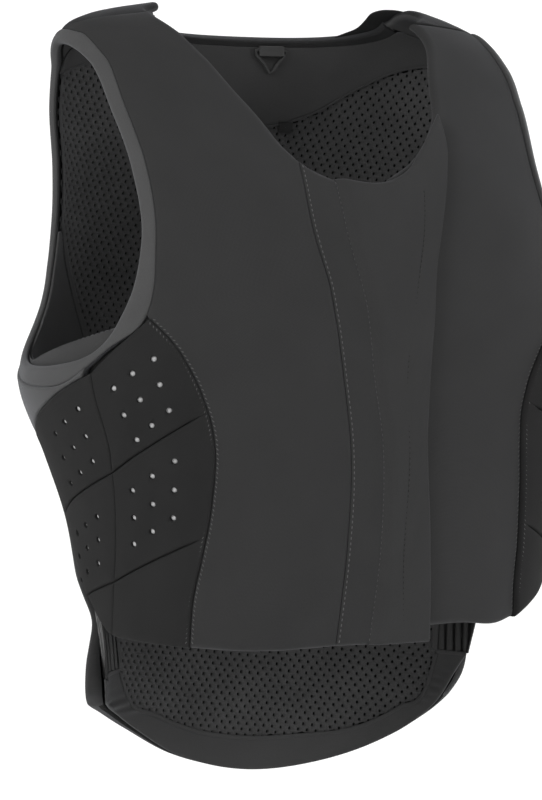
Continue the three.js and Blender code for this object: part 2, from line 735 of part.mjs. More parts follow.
// Full depth in the middle and at the tail, thinner beside the pads
const backFace = (i, j, rows, columns) => {
  const part = BACK_PARTS[j];
  const thinning = share(1 - Math.min(part, 1 - part) / 0.3) * share((backRight[i][1] + 480) / 50);
  return padded(BACK_FACE - BACK_SIDE_THINNING * thinning, 1.6 * EDGE_DROP)(i, j, rows, columns);
};
add("back_panel", sheet(field({
  left: backRight,
  right: backLeft,
  top: backTop,
  bottom: across(TAIL_EDGE, lastOf(backRight)[0], lastOf(backLeft)[0], BACK_PARTS),
  parts: BACK_PARTS,
}), BENT_START, backFace), "softshell");

// Tape over the back neck edge, thinner where it meets the shoulder bands
const bindingFace = (i, j, rows, columns) => {
  const bulge = Math.sin(Math.PI * j / (columns - 1)) ** 0.6;
  return padded(BAND_FACE + (BACK_FACE - 2 - BAND_FACE) * bulge, EDGE_DROP / 2)(i, j, rows, columns);
};
const neckBack = through(NECK_BACK, 12);
const underBinding = neckBack.map(([angle, height]) => [angle, height - BINDING_HEIGHT]);
add("neck_binding", sheet(field({
  top: neckBack,
  bottom: underBinding,
  left: straight(neckBack[0], underBinding[0], 2),
  right: straight(neckBack[12], underBinding[12], 2),
}), 0, bindingFace), "binding");

// Linings inside the back: plain yoke, mesh below it, plain border round the tail
const yokeSide = straight(backTop[0], YOKE_SEAM[0], 3);
const yokeSeam = fullAcross(YOKE_SEAM, BACK_PARTS);
add("back_yoke_lining", sheet(field({
  top: backTop,
  bottom: yokeSeam,
  left: yokeSide,
  right: pastBack(mirror(yokeSide)),
  parts: BACK_PARTS,
}), 0, LINING), "plainLining");

const meshSide = (lining, waist, turn) => [
  ...turn(fullDown(MESH_SIDE, 4)),
  ...chain(liningEdge(lining), fullDown(waist, 2)),
];
add("back_mesh_lining", sheet(field({
  top: yokeSeam,
  bottom: fullAcross(TAIL_MESH, BACK_PARTS),
  left: meshSide(LINING_EDGE, WAIST_REAR, (line) => line),
  right: pastBack(meshSide(LINING_EDGE_LEFT, WAIST_REAR_LEFT, mirror)),
  parts: BACK_PARTS,
}), 0, LINING), "mesh");

add("tail_border", sheet(field({
  top: fullAcross(TAIL_MESH, BACK_PARTS),
  bottom: fullAcross(TAIL_EDGE, BACK_PARTS),
  left: straight(TAIL_MESH[0], TAIL_EDGE[0], 2),
  right: straight(lastOf(TAIL_MESH), lastOf(TAIL_EDGE), 2),
  parts: BACK_PARTS,
}), 0, LINING), "plainLining");

// Hanging loop in a V under a small rounded patch, and the blank size label
const LOOP_PLACES = [[-186, -22], [-181.5, -20], [-177, -22], [-179.6, -31], [-181.5, -38], [-183.4, -31]];
const LOOP_PATCH = { middle: [-181.5, -21.5], halfAngle: 3.6, halfHeight: 4, thickness: 1.2 };
const LABEL = { middle: [-186, -77], halfAngle: 1.7, halfHeight: 4 };
const loopDepth = -LOOP_CLEARANCE - LOOP_WIRE / 2;
const loopLine = new THREE.CatmullRomCurve3(LOOP_PLACES.map((place) => onForm(place, loopDepth)), true);
const loopWire = new THREE.TubeGeometry(loopLine, 16, LOOP_WIRE / 2, 5, true);

function plate({ middle, halfAngle, halfHeight }, inner, outer) {
  const [angle, height] = middle;
  const corner = (a, h) => [angle + a * halfAngle, height + h * halfHeight];
  return sheet(field({
    top: straight(corner(-1, 1), corner(1, 1), 2),
    bottom: straight(corner(-1, -1), corner(1, -1), 2),
    left: straight(corner(-1, 1), corner(-1, -1), 2),
    right: straight(corner(1, 1), corner(1, -1), 2),
  }), inner, outer);
}

const loopPatch = plate(LOOP_PATCH, loopDepth - LOOP_WIRE / 2 - LOOP_PATCH.thickness, loopDepth);
add("hanging_loop", fromSolid(toSolid(welded(loopWire)).add(toSolid(loopPatch))), "binding");
add("size_label", plate(LABEL, -LOOP_CLEARANCE - LABEL_THICKNESS, -LOOP_CLEARANCE), "label");

export default vest;
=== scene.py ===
"""Looks of the protective vest: cloth, foam, seams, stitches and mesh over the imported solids."""
import math

import bpy
import numpy as np
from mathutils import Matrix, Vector


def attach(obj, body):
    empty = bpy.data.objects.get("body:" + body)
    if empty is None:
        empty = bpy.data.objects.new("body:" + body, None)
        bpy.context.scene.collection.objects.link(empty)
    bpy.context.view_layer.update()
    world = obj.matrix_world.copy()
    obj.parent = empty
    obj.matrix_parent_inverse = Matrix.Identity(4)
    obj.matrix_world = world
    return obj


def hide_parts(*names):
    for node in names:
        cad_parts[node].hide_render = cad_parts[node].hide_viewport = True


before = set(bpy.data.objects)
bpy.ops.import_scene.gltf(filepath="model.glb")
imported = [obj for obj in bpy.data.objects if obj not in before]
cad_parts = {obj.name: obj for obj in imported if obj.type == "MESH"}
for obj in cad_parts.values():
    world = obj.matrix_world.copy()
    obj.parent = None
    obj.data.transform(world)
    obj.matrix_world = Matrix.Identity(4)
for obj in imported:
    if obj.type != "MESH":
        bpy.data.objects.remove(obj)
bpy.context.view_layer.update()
MM = 0.001

# Sizes, in millimetres

FRONT_START = 0.9
FRONT_FACE = 9.9
LEFT_FACE = 7.4
FOAM_START = 2.9
BENT_START = 3.85
SIDE_FACE = 11.4
BACK_FACE = 15.85
BACK_SIDE_THINNING = 4.4
BAND_FACE = 7.9
FLAP_START = 10.4
FLAP_FACE = 13.0
LIP = 7.4
BINDING_HEIGHT = 4.5
STITCH_PITCH = 3.7
HOLE_RADIUS = 2.2
HOLE_DEPTH = 1.7
LEAST_THICKNESS = 0.4
LINING_FACE = 1.9
HOLE_FACE = 11.9
TAPE_DEPTH = -0.3
TAPE_THICKNESS = 0.5
WAIST_FOLD = 0.9
WAIST_FOLD_PITCH = 7.5
GATHER = 1.0
GATHER_PITCH = 6.5
LABEL_MIDDLE = (-186.0, -76.6)
STEPS_ALONG_TAPES = 220
FLOOR_HEIGHT = -0.95

# height, half widths right and left, front depth, back depth, y of the widest line, squareness
FORM = np.array([
    [-580, 146, 146, 104, 97, -9, 0.03],
    [-500, 150, 152, 116, 97, -9, 0.03],
    [-440, 155, 154, 121, 97, -9, 0.03],
    [-404, 162, 159, 121, 98, -9, 0.03],
    [-350, 172, 172, 119, 100, -8, 0.03],
    [-300, 190, 190, 118, 101, -7, 0.03],
    [-258, 207, 205, 117, 100, -5, 0.03],
    [-216, 206, 200, 117, 93, -2, 0.03],
    [-185, 196, 191, 115, 90, 0, 0.03],
    [-150, 188, 186, 108, 85, 0, 0.03],
    [-110, 186, 185, 94, 72, 5, 0.015],
    [-65, 185, 186, 72, 49, 16, 0.005],
    [-38, 180, 176, 58, 41, 21, 0],
    [-20, 175, 156, 47, 35, 25, 0],
    [-9, 162, 134, 38, 30, 27, 0],
    [-3, 140, 118, 32, 27, 29, 0],
    [3, 101, 97, 25, 23, 31, 0],
    [10, 78, 78, 18, 18, 32, 0],
], float)

# Seam and edge lines, each row (angle, height), on the wearer's right side unless named LEFT
ARMHOLE_OPENING = [
    (-92, -24), (-76, -27), (-66, -44), (-60, -76), (-57, -115), (-55, -160), (-56.5, -205),
    (-63.5, -232), (-78, -242), (-97, -243), (-113, -233), (-122, -209), (-119.5, -176),
    (-114.5, -145), (-109, -110), (-104, -72), (-98, -40),
]
ARMHOLE_SEAM = [
    (-91, -16.5), (-72, -20.5), (-62, -36), (-56, -69), (-52.5, -113), (-50.5, -160), (-50, -209),
    (-58.5, -229.5), (-75, -254), (-99, -254), (-118, -241), (-128, -209), (-125.5, -174),
    (-120.5, -143), (-115.5, -108), (-111, -66), (-104, -31),
]
NECK_RIGHT = [(-52, -5), (-37, -20), (-24, -66), (-19, -94), (-16, -106)]
NECK_LEFT = [(40, -8), (27, -41), (21, -76), (12, -103), (3, -119)]
NECK_STRIP = [(-16, -106), (-13, -113), (-9, -119)]
NECK_FLAP = [(-9, -119), (0, -123), (7, -116), (12, -103), (16, -91), (21, -76)]
NECK_SHOULDER = [(-52, -5), (-70, 0), (-88, 3), (-110, 2), (-128, -3)]
NECK_SHOULDER_LEFT = [(40, -8), (63, -2), (88, 2), (110, 1), (128, -3)]
NECK_BACK = [(-129, -3), (-142, -8), (-160, -13), (-180, -14.5), (-200, -13.5), (-218, -9), (-231, -3)]
SIDE_SEAM = [
    (-50, -209), (-45, -221), (-39, -247), (-37, -274), (-38, -299), (-42, -336), (-47, -373),
    (-51, -402), (-54, -434),
]
SIDE_SEAM_LEFT = [
    (50, -209), (42, -221), (33, -247), (30, -274), (31, -299), (34, -336), (36, -373),
    (36, -402), (37, -424),
]
LINE_ONE = [
    (-16, -106), (-15, -152), (-12, -191), (-10, -237), (-10, -321), (-12, -368), (-16, -434),
]
LINE_TWO = [(-9, -119), (-8, -156), (-5, -202), (-4, -249), (-3, -300), (-4, -358), (-8, -434)]
LINE_THREE = [(10, -126), (6, -178), (2, -249), (2, -311), (0, -396), (0, -432)]
FLAP_EDGE = [
    (21, -76), (20, -97), (17, -118), (12, -153), (8, -214), (6, -286), (7, -360), (7, -434),
]
LEFT_PANEL_EDGE = [(3, -119), (2, -180), (0, -250), (0, -330), (1, -424)]
HEM_RIGHT = [(-54, -434), (-34, -436), (-16, -434)]
HEM_LEFT = [(1, -424), (18, -424), (30, -427), (37, -424)]
PAD_COLUMN = [(-64, -246), (-64, -280), (-67, -312), (-72, -350), (-77, -391), (-83, -431)]
PAD_COLUMN_LEFT = [(64, -246), (56, -274), (54.5, -302), (57, -340), (60, -381), (62, -403)]
REAR_SEAM = [
    (-105.5, -348), (-104, -366), (-102, -382), (-98.5, -397), (-92.5, -408), (-89, -419), (-84.5, -429),
]
REAR_SEAM_LEFT = [(105.5, -346), (104.5, -362), (102, -376), (99, -386), (95, -397)]
BACK_EDGE = [
    (-118, -241), (-109, -268), (-106, -300), (-105.5, -350), (-107, -385), (-118, -410),
    (-123, -430), (-117, -448), (-109.5, -464), (-109, -477), (-118, -491.5),
]
BACK_EDGE_LEFT = [
    (118, -241), (109, -268), (106, -300), (105.5, -350), (106, -385), (108, -414), (109, -434),
    (109, -453), (110, -468), (112.5, -487), (118, -503.5),
]
MESH_SIDE = [(-100.5, -42), (-104.5, -72), (-109.5, -110), (-115, -147)]
LINING_EDGE = [(-118.5, -152), (-127, -176), (-138, -212), (-144, -250), (-140, -310), (-131, -399)]
LINING_EDGE_LEFT = [(118.5, -152), (127, -176), (136, -212), (138, -250), (130, -310), (120, -399)]
WAIST_REAR = [(-131, -399), (-131, -430), (-132, -469)]
WAIST_REAR_LEFT = [(120, -399), (119, -430), (119.5, -469)]
WAIST_FRONT = [(-100, -414), (-101, -440), (-105, -469)]
WAIST_FRONT_LEFT = [(100, -405), (101, -440), (105, -469)]
YOKE_SEAM = [
    (-100.5, -42), (-117, -36), (-130, -32), (-144, -37), (-157, -51), (-168, -68), (-180, -77),
    (-192, -68), (-203, -51), (-216, -37), (-230, -32), (-243, -36), (-259.5, -42),
]
TAIL_MESH = [
    (-132, -470), (-136, -488), (-150, -507), (-165, -523), (-180, -531), (-195, -532),
    (-210, -529), (-226, -513), (-237, -494), (-240.5, -470),
]
TAIL_EDGE = [
    (-106, -470), (-109.5, -483), (-118, -491.5), (-130, -501.5), (-142, -516), (-159, -539.5),
    (-180, -555), (-201, -552), (-219.5, -538), (-232, -522.5), (-242, -503.5), (-247, -488),
    (-251, -477), (-254, -470),
]
# Lower and upper border of the rolled neck edge on the left shoulder
ROLL_LOW = [(98, 0.2), (108, -0.6), (118, -2.4), (128, -4.6), (137, -7.4), (146, -10.6), (156, -14)]
ROLL_HIGH = [(98, 1.8), (108, 2.6), (118, 2.6), (128, 1), (137, -2.5), (146, -7.2), (156, -12.4)]
# Groove heights at the side seam, the pad column and the rear seam
GROOVES_RIGHT = [(-211.5, -246, -289), (-272, -312, -348), (-357, -391, -404), (-434, -431, -429)]
GROOVES_LEFT = [(-211.5, -246, -289), (-272, -302, -346), (-357, -381, -380), (-424, -403, -397)]
# Pad, first hole, step along a row of three, step down to the next row
PERFORATIONS = {
    "upper_front": ((-47.5, -237), (-5.2, -9.3), (1.0, -16.5)),
    "upper_rear": ((-70, -268), (-7, -8.5), (-1.2, -18)),
    "lower_front": ((-48, -304), (-7, -9.8), (-2.2, -19.5)),
    "lower_rear": ((-78.5, -344), (-7, -7.5), (-2.2, -17.5)),
}
PERFORATION_SHIFT_LEFT = (9, 0)


# The torso form

def smooth(rows, x, column_x, column_y):
    """Values of one column through the rows at x of another, with even slopes."""
    rows = np.asarray(rows, float)
    xs, ys = rows[:, column_x], rows[:, column_y]
    if xs[-1] < xs[0]:
        xs, ys = xs[::-1], ys[::-1]
    x = np.asarray(x, float)
    width = np.diff(xs)
    slope = np.diff(ys) / width
    tangent = np.empty(len(xs))
    tangent[0], tangent[-1] = slope[0], slope[-1]
    tangent[1:-1] = (slope[:-1] * width[1:] + slope[1:] * width[:-1]) / (width[1:] + width[:-1])
    i = np.clip(np.searchsorted(xs, x) - 1, 0, len(xs) - 2)
    t = np.clip((x - xs[i]) / width[i], 0, 1)
    return (
        (1 + 2 * t) * (1 - t) ** 2 * ys[i] + t * (1 - t) ** 2 * width[i] * tangent[i]
        + t * t * (3 - 2 * t) * ys[i + 1] - t * t * (1 - t) * width[i] * tangent[i + 1]
    )


def form(u, z):
    right, left, front, back, middle, square = (smooth(FORM, z, 0, c) for c in range(1, 7))
    u = np.radians(u)
    half = np.where(np.sin(u) < 0, right, left)
    depth = np.where(np.cos(u) >= 0, front, back)
    x = half * (np.sin(u) + square * np.sin(3 * u)) / (1 - square)
    y = middle - depth * (np.cos(u) - square * np.cos(3 * u)) / (1 - square)
    return np.stack([x, y, z + 0 * u], -1)


def normals(u, z):
    round_it = form(u + 0.2, z) - form(u - 0.2, z)
    up = form(u, z + 0.5) - form(u, z - 0.5)
    n = np.cross(round_it, up)
    return n / np.linalg.norm(n, axis=-1, keepdims=True)


def place(uz, depth):
    """Points a given depth outside the form, in millimetres."""
    uz = np.asarray(uz, float)
    u, z = uz[..., 0], uz[..., 1]
    return form(u, z) + normals(u, z) * np.broadcast_to(np.asarray(depth, float), u.shape)[..., None]


# Lines in (angle, height)

def down(rows, top, bottom, steps=60):
    z = np.linspace(top, bottom, steps + 1)
    return np.stack([smooth(rows, z, 1, 0), z], -1)


def across(rows, start, end, steps=80):
    u = np.linspace(start, end, steps + 1)
    return np.stack([u, smooth(rows, u, 0, 1)], -1)


def whole_down(rows):
    return down(rows, rows[0][1], rows[-1][1])


def whole_across(rows):
    return across(rows, rows[0][0], rows[-1][0])


def through(rows, steps=80, closed=False, start=0, end=None):
    rows = np.asarray(rows, float)
    count = len(rows)
    if end is None:
        end = count if closed else count - 1
    if closed:
        def row(i):
            return rows[i % count]
    else:
        rows = np.vstack([2 * rows[0] - rows[1], rows, 2 * rows[-1] - rows[-2]])

        def row(i):
            return rows[np.clip(i + 1, 0, count + 1)]
    at = np.linspace(start, end, steps + 1)
    i = np.floor(at).astype(int) if closed else np.minimum(np.floor(at).astype(int), count - 2)
    t = (at - i)[:, None]
    a, b, c, d = row(i - 1), row(i), row(i + 1), row(i + 2)
    return 0.5 * (
        2 * b + (c - a) * t + (2 * a - 5 * b + 4 * c - d) * t**2 + (3 * b - a - 3 * c + d) * t**3
    )


def straight(a, b, steps=40):
    t = np.linspace(0, 1, steps + 1)[:, None]
    return np.asarray(a, float) * (1 - t) + np.asarray(b, float) * t


def chain(*lines):
    return np.vstack([lines[0]] + [line[1:] for line in lines[1:]])


def mirror(line):
    return np.asarray(line, float) * [-1, 1]


def past_back(line):
    return np.asarray(line, float) + [-360, 0]


def lengths(line, depth=0.0):
    """Distance along a line of places, in millimetres, at each of its points."""
    steps = np.linalg.norm(np.diff(place(line, depth), axis=0), axis=1)
    return np.concatenate([[0], np.cumsum(steps)])


def at_parts(line, parts):
    """Places at parts from 0 to 1 of a line's length."""
    run = lengths(line)
    run = run / run[-1]
    return np.stack([np.interp(parts, run, line[:, k]) for k in (0, 1)], -1)


def offset_line(line, distance):
    """The line moved sideways on the form, toward its left side as seen from outside."""
    p = place(line, 0)
    along = np.gradient(p, axis=0)
    n = normals(line[:, 0], line[:, 1])
    side = np.cross(n, along)
    side /= np.linalg.norm(side, axis=1, keepdims=True)
    e = 0.25
    pu = (form(line[:, 0] + e, line[:, 1]) - form(line[:, 0] - e, line[:, 1])) / (2 * e)
    pz = (form(line[:, 0], line[:, 1] + e) - form(line[:, 0], line[:, 1] - e)) / (2 * e)
    a = (pu * pu).sum(1)
    b = (pu * pz).sum(1)
    c = (pz * pz).sum(1)
    r, s = (side * pu).sum(1), (side * pz).sum(1)
    det = a * c - b * b
    return line + distance * np.stack([(c * r - b * s) / det, (a * s - b * r) / det], -1)


# Grids

EDGE_STEPS = np.array([0, 0.2, 0.6, 1.2, 2.0, 3.0, 4.3, 6.0])


def parts_for(length, step):
    """Parts of a length with close places at both ends and even steps between."""
    edge = EDGE_STEPS * min(1.0, length / 2 / 7.5)
    count = max(2, int(round((length - 2 * edge[-1]) / step)) + 1)
    middle = np.linspace(edge[-1], length - edge[-1], count)
    return np.concatenate([edge[:-1], middle, length - edge[-2::-1]]) / length


def strip(left, right, step):
    """Grid of places between two lines, with straight ends."""
    return patch(straight(left[0], right[0]), straight(left[-1], right[-1]), left, right, step)


def patch(top, bottom, left, right, step=3.0):
    """Grid of places filling four border lines."""
    wide = (lengths(top)[-1] + lengths(bottom)[-1]) / 2
    mid = lengths(straight(at_parts(left, [0.5])[0], at_parts(right, [0.5])[0]))[-1]
    tall = (lengths(left)[-1] + lengths(right)[-1]) / 2
    s, t = parts_for(max(wide, mid), step), parts_for(tall, step)
    top, bottom = at_parts(top, s), at_parts(bottom, s)
    left, right = at_parts(left, t), at_parts(right, t)
    s, t = s[None, :, None], t[:, None, None]
    return (
        (1 - t) * top[None] + t * bottom[None] + (1 - s) * left[:, None] + s * right[:, None]
        - (1 - s) * (1 - t) * top[0] - s * (1 - t) * top[-1]
        - (1 - s) * t * bottom[0] - s * t * bottom[-1]
    )


def runs(p, axis):
    """Distances along the columns (axis 0) or rows (axis 1) of a grid of points."""
    steps = np.linalg.norm(np.diff(p, axis=axis), axis=2)
    return np.insert(np.cumsum(steps, axis=axis), 0, 0, axis=axis)


def between(first, second, parts):
    """Grid of places from one line to another at parts from 0 to 1."""
    parts = parts[None, :, None]
    return first[:, None] * (1 - parts) + second[:, None] * parts


def edge_distances(grid, depth):
    """Distances in millimetres from each place to the grid's four borders."""
    p = place(grid, depth)
    left, top = runs(p, 1), runs(p, 0)
    return {"left": left, "right": left[:, -1:] - left, "top": top, "bottom": top[-1:] - top}


def rounding(distance, drop, radius):
    """How far a rounded edge lies under the face at a distance from the edge."""
    t = np.clip(1 - distance / radius, 0, 1)
    return drop * (1 - np.sqrt(np.clip(1 - t * t, 0, 1)))


def rounded(distances, edges):
    """The largest rounding of the edges given as {side: (drop, radius)}."""
    total = np.zeros_like(distances["left"])
    for side, (drop, radius) in edges.items():
        total = np.maximum(total, rounding(distances[side], drop, radius))
    return total


def wander(uz, amount, size=60.0, seed=0.0):
    """Slow uneven rise and fall of soft goods."""
    u, z = np.asarray(uz)[..., 0] * 2.6, np.asarray(uz)[..., 1]
    total = 0
    for k, (angle, stretch) in enumerate(((0.4, 1.0), (1.7, 1.37), (2.9, 1.83), (4.1, 2.6))):
        along = (u * math.cos(angle) + z * math.sin(angle)) / size * stretch
        total = total + np.sin(2 * math.pi * along + seed + 1.9 * k) / stretch
    return amount * total / 2.3


# Meshes

def linked(name, data):
    """A new object in the scene."""
    piece = bpy.data.objects.new(name, data)
    bpy.context.scene.collection.objects.link(piece)
    return piece


def between_rings(low, high, sides):
    """Quads between two rings of points that start at these numbers."""
    return [(low + k, high + k, high + (k + 1) % sides, low + (k + 1) % sides) for k in range(sides)]


def make_object(name, points, faces, materials, uv=None, kinds=None):
    """A mesh object from points in millimetres, quads or triangles, and one uv per point."""
    mesh = bpy.data.meshes.new(name)
    mesh.from_pydata((np.asarray(points) * MM).tolist(), [], np.asarray(faces).tolist())
    if uv is not None:
        layer = mesh.uv_layers.new(name="cloth")
        corner = np.zeros(len(mesh.loops), np.int32)
        mesh.loops.foreach_get("vertex_index", corner)
        layer.data.foreach_set("uv", np.asarray(uv, np.float32)[corner].ravel())
    mesh.polygons.foreach_set("use_smooth", [True] * len(mesh.polygons))
    for material in materials:
        mesh.materials.append(material)
    if kinds is not None:
        mesh.polygons.foreach_set("material_index", np.asarray(kinds, np.int32))
    mesh.update()
    return linked(name, mesh)


def cloth_uv(grid, depth):
    """Metres along the cloth, counted from the grid's middle."""
    p = place(grid, depth)
    row = runs(p, 1)
    row -= row[:, row.shape[1] // 2][:, None]
    return np.stack([row, -runs(p, 0)], -1) * MM


def shell_mesh(grid, outer, inner, closed_round=False):
    """Points, faces, face kinds (0 outside and rims, 1 inside) and uv of a closed sheet over a grid."""
    rows, columns = grid.shape[:2]
    outside, inside = place(grid, outer), place(grid, inner)
    points = np.vstack([outside.reshape(-1, 3), inside.reshape(-1, 3)])
    uv = cloth_uv(grid, float(np.mean(outer))).reshape(-1, 2)
    uv = np.vstack([uv, uv])
    index = np.arange(rows * columns).reshape(rows, columns)
    if closed_round:
        index = np.vstack([index, index[:1]])
    a, b, c, d = index[:-1, :-1], index[1:, :-1], index[1:, 1:], index[:-1, 1:]
    top = np.stack([a, b, c, d], -1).reshape(-1, 4)
    under = top[:, ::-1] + rows * columns
    rims = []

    def rim(line):
        p, q = line[:-1], line[1:]
        rims.append(np.stack([p, q, q + rows * columns, p + rows * columns], -1))

    rim(index[::-1, 0])
    rim(index[:, -1])
    if not closed_round:
        rim(index[0, :])
        rim(index[-1, ::-1])
    rims = np.vstack(rims)
    faces = np.vstack([top, rims, under])
    kinds = np.concatenate([np.zeros(len(top) + len(rims), int), np.ones(len(under), int)])
    v = points[faces[:, 0]], points[faces[:, 1]], points[faces[:, 2]]
    if (np.cross(v[1] - v[0], v[2] - v[0]) * v[0]).sum() < 0:
        faces = faces[:, ::-1]
    return points, faces, kinds, uv


def shell(name, grid, outer, inner, materials, closed_round=False):
    points, faces, kinds, uv = shell_mesh(grid, outer, inner, closed_round)
    return make_object(name, points, faces, materials, uv, kinds)


def cut_size(grid):
    """Width, length and area in metres of the flat cloth that covers a grid."""
    p = place(grid, 1.0) * MM
    row, column = runs(p, 1).max(), runs(p, 0).max()
    a, b = p[1:, 1:] - p[:-1, :-1], p[1:, :-1] - p[:-1, 1:]
    area = np.linalg.norm(np.cross(a, b), axis=2).sum() / 2
    return (float(row), float(column)), float(max(area, 0.301 * row * column))


def keep(piece, slot, *nodes):
    """The piece rides on the vest and stands for CAD nodes, which it hides; the slot is not used."""
    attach(piece, "root")
    if nodes:
        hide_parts(*nodes)


def keep_padded(piece, slot, *nodes, fill=0.9):
    keep(piece, slot, *nodes)


def keep_sheet(piece, slot, grid, rests_on, *nodes):
    keep(piece, slot, *nodes)
    flat, area = cut_size(grid)


def soft_piece(node, slot, grid, outer, inner, material, fill=0.9, name=None, closed_round=False):
    """A padded piece with a lining behind it, in the place of a CAD node."""
    piece = shell(name or node + "_soft", grid, outer, inner, [material, LINING_CLOTH], closed_round)
    keep_padded(piece, slot, node, fill=fill)


# Small bodies set in rows: thread stitches, and near-black dots of painted shade in the needle holes

def capsule(sides=5):
    rings = [(-1.0, 0.35), (-0.72, 0.85), (0.0, 1.0), (0.72, 0.85), (1.0, 0.35)]
    points = [
        (x, r * math.cos(2 * math.pi * k / sides), r * math.sin(2 * math.pi * k / sides))
        for x, r in rings for k in range(sides)
    ]
    faces = []
    for i in range(len(rings) - 1):
        for a, b, c, d in between_rings(i * sides, (i + 1) * sides, sides):
            faces += [(a, b, c), (a, c, d)]
    for base, turn in ((0, 1), ((len(rings) - 1) * sides, -1)):
        for k in range(1, sides - 1):
            faces.append((base, base + k, base + k + 1)[::turn])
    return np.array(points), np.array(faces)


class Rows:
    """Collects many small bodies of one kind into one mesh."""

    def __init__(self):
        self.points, self.faces, self.count = [], [], 0

    def add(self, centres, along, normal, size):
        """Bodies with half sizes (along, across, out) at the centres, in millimetres."""
        template, faces = capsule()
        across_it = np.cross(normal, along)
        across_it /= np.linalg.norm(across_it, axis=1, keepdims=True)
        along = along / np.linalg.norm(along, axis=1, keepdims=True)
        out = np.cross(along, across_it)
        local = template * np.asarray(size)
        points = (
            centres[:, None] + local[None, :, :1] * along[:, None]
            + local[None, :, 1:2] * across_it[:, None] + local[None, :, 2:] * out[:, None]
        )
        base = self.count + np.arange(len(centres))[:, None, None] * len(template)
        self.points.append(points.reshape(-1, 3))
        self.faces.append((faces[None] + base).reshape(-1, 3))
        self.count += len(centres) * len(template)

    def line(self, line, depth, size, pitch=STITCH_PITCH, offset=0.0, slant=0.0, phase=0.0):
        """Bodies along a line of places, turned by slant degrees out of its direction."""
        if offset:
            line = offset_line(line, offset)
        run = lengths(line, depth)
        count = max(2, int(run[-1] / pitch))
        where = (np.arange(count) + 0.5 + phase) * (run[-1] / count)
        where = where[where < run[-1]]
        uz, ahead, behind = (
            np.stack([np.interp(where + shift, run, line[:, k]) for k in (0, 1)], -1)
            for shift in (0, 0.5, -0.5)
        )
        along = place(ahead, depth) - place(behind, depth)
        along /= np.linalg.norm(along, axis=1, keepdims=True)
        normal = normals(uz[:, 0], uz[:, 1])
        if slant:
            a = math.radians(slant)
            along = along * math.cos(a) + np.cross(normal, along) * math.sin(a)
        self.add(place(uz, depth), along, normal, size)

    def build(self, name, material):
        return make_object(name, np.vstack(self.points), np.vstack(self.faces), [material])


# Materials

def tone(level, share=1.0):
    """Linear grey of a 0 to 255 screen level, times a share."""
    v = level / 255
    v = v / 12.92 if v <= 0.04045 else ((v + 0.055) / 1.055) ** 2.4
    return (v * share, v * share, v * share, 1.0)


class Finish:
    """A material with one shader, to which texture nodes are added."""

    def __init__(self, name, values):
        self.material = bpy.data.materials.new(name)
        self.material.use_nodes = True
        self.tree = self.material.node_tree
        self.tree.nodes.clear()
        output = self.tree.nodes.new("ShaderNodeOutputMaterial")
        self.shader = self.tree.nodes.new("ShaderNodeBsdfPrincipled")
        self.tree.links.new(self.shader.outputs["BSDF"], output.inputs["Surface"])
        for key, value in values.items():
            self.shader.inputs[key].default_value = value

    def add(self, kind, attributes=(), values=(), links=()):
        node = self.tree.nodes.new("ShaderNode" + kind)
        for key, value in dict(attributes).items():
            setattr(node, key, value)
        for key, value in dict(values).items():
            node.inputs[key].default_value = value
        for key, socket in dict(links).items():
            self.tree.links.new(socket, node.inputs[key])
        return node

    def noise(self, vector, scale, detail):
        values = {"Scale": scale, "Detail": detail}
        return self.add("TexNoise", values=values, links={"Vector": vector}).outputs["Fac"]

    def flecked(self, level, fleck, noise):
        """A grey that goes from a little darker to a little lighter with a noise."""
        tones = {6: tone(level, 1 - fleck), 7: tone(level, 1 + fleck)}
        return self.add("Mix", {"data_type": "RGBA"}, tones, {0: noise}).outputs[2]

    def surface(self, colour, height, bump, distance):
        self.tree.links.new(colour, self.shader.inputs["Base Color"])
        relief = self.add("Bump", {}, {"Strength": bump, "Distance": distance}, {"Height": height})
        self.tree.links.new(relief.outputs["Normal"], self.shader.inputs["Normal"])
        return self.material


def cloth(name, level, rough=0.85, sheen=0.05, weave=0.0009, bump=0.25, cloud=0.12, fleck=0.18,
          specular=0.15):
    """Woven or knitted cloth: fine crossing threads, flecked yarn and slow cloudy wear."""
    finish = Finish(name, {
        "Roughness": rough, "Specular IOR Level": specular, "Sheen Weight": sheen, "Sheen Roughness": 0.5,
        "Sheen Tint": (0.9, 0.92, 1.0, 1.0),
    })
    uv = finish.add("UVMap", {"uv_map": "cloth"}).outputs["UV"]
    wave = {"Scale": math.pi / 10 / weave, "Distortion": 1.2, "Detail": 1.0, "Detail Scale": 0.6}
    bands = [{"wave_type": "BANDS", "bands_direction": way} for way in "XY"]
    threads = [finish.add("TexWave", band, wave, {"Vector": uv}).outputs["Fac"] for band in bands]
    weaving = finish.add("Math", {"operation": "ADD"}, {}, dict(enumerate(threads))).outputs[0]
    flecks = finish.noise(uv, 900, 2)
    wear = {"From Min": 0.3, "From Max": 0.7, "To Min": 1 - cloud, "To Max": 1 + cloud}
    shade = finish.add("MapRange", {}, wear, {"Value": finish.noise(uv, 26, 3)}).outputs["Result"]
    mixed = finish.flecked(level, fleck, flecks)
    shading = {0: mixed, "Scale": shade}
    colour = finish.add("VectorMath", {"operation": "SCALE"}, {}, shading).outputs["Vector"]
    height = finish.add("Math", {"operation": "MULTIPLY_ADD"}, {1: 0.6}, {0: flecks, 2: weaving}).outputs[0]
    return finish.surface(colour, height, bump, 0.0002)


def plain(name, level, rough=0.7, scale=700, bump=0.2, fleck=0.2):
    """A small part with an uneven surface, for thread, foam and trim without a cloth map."""
    finish = Finish(name, {"Roughness": rough, "Specular IOR Level": 0.3})
    where = finish.add("TexCoord").outputs["Object"]
    noise = finish.noise(where, scale, 3)
    return finish.surface(finish.flecked(level, fleck, noise), noise, bump, 0.0003)


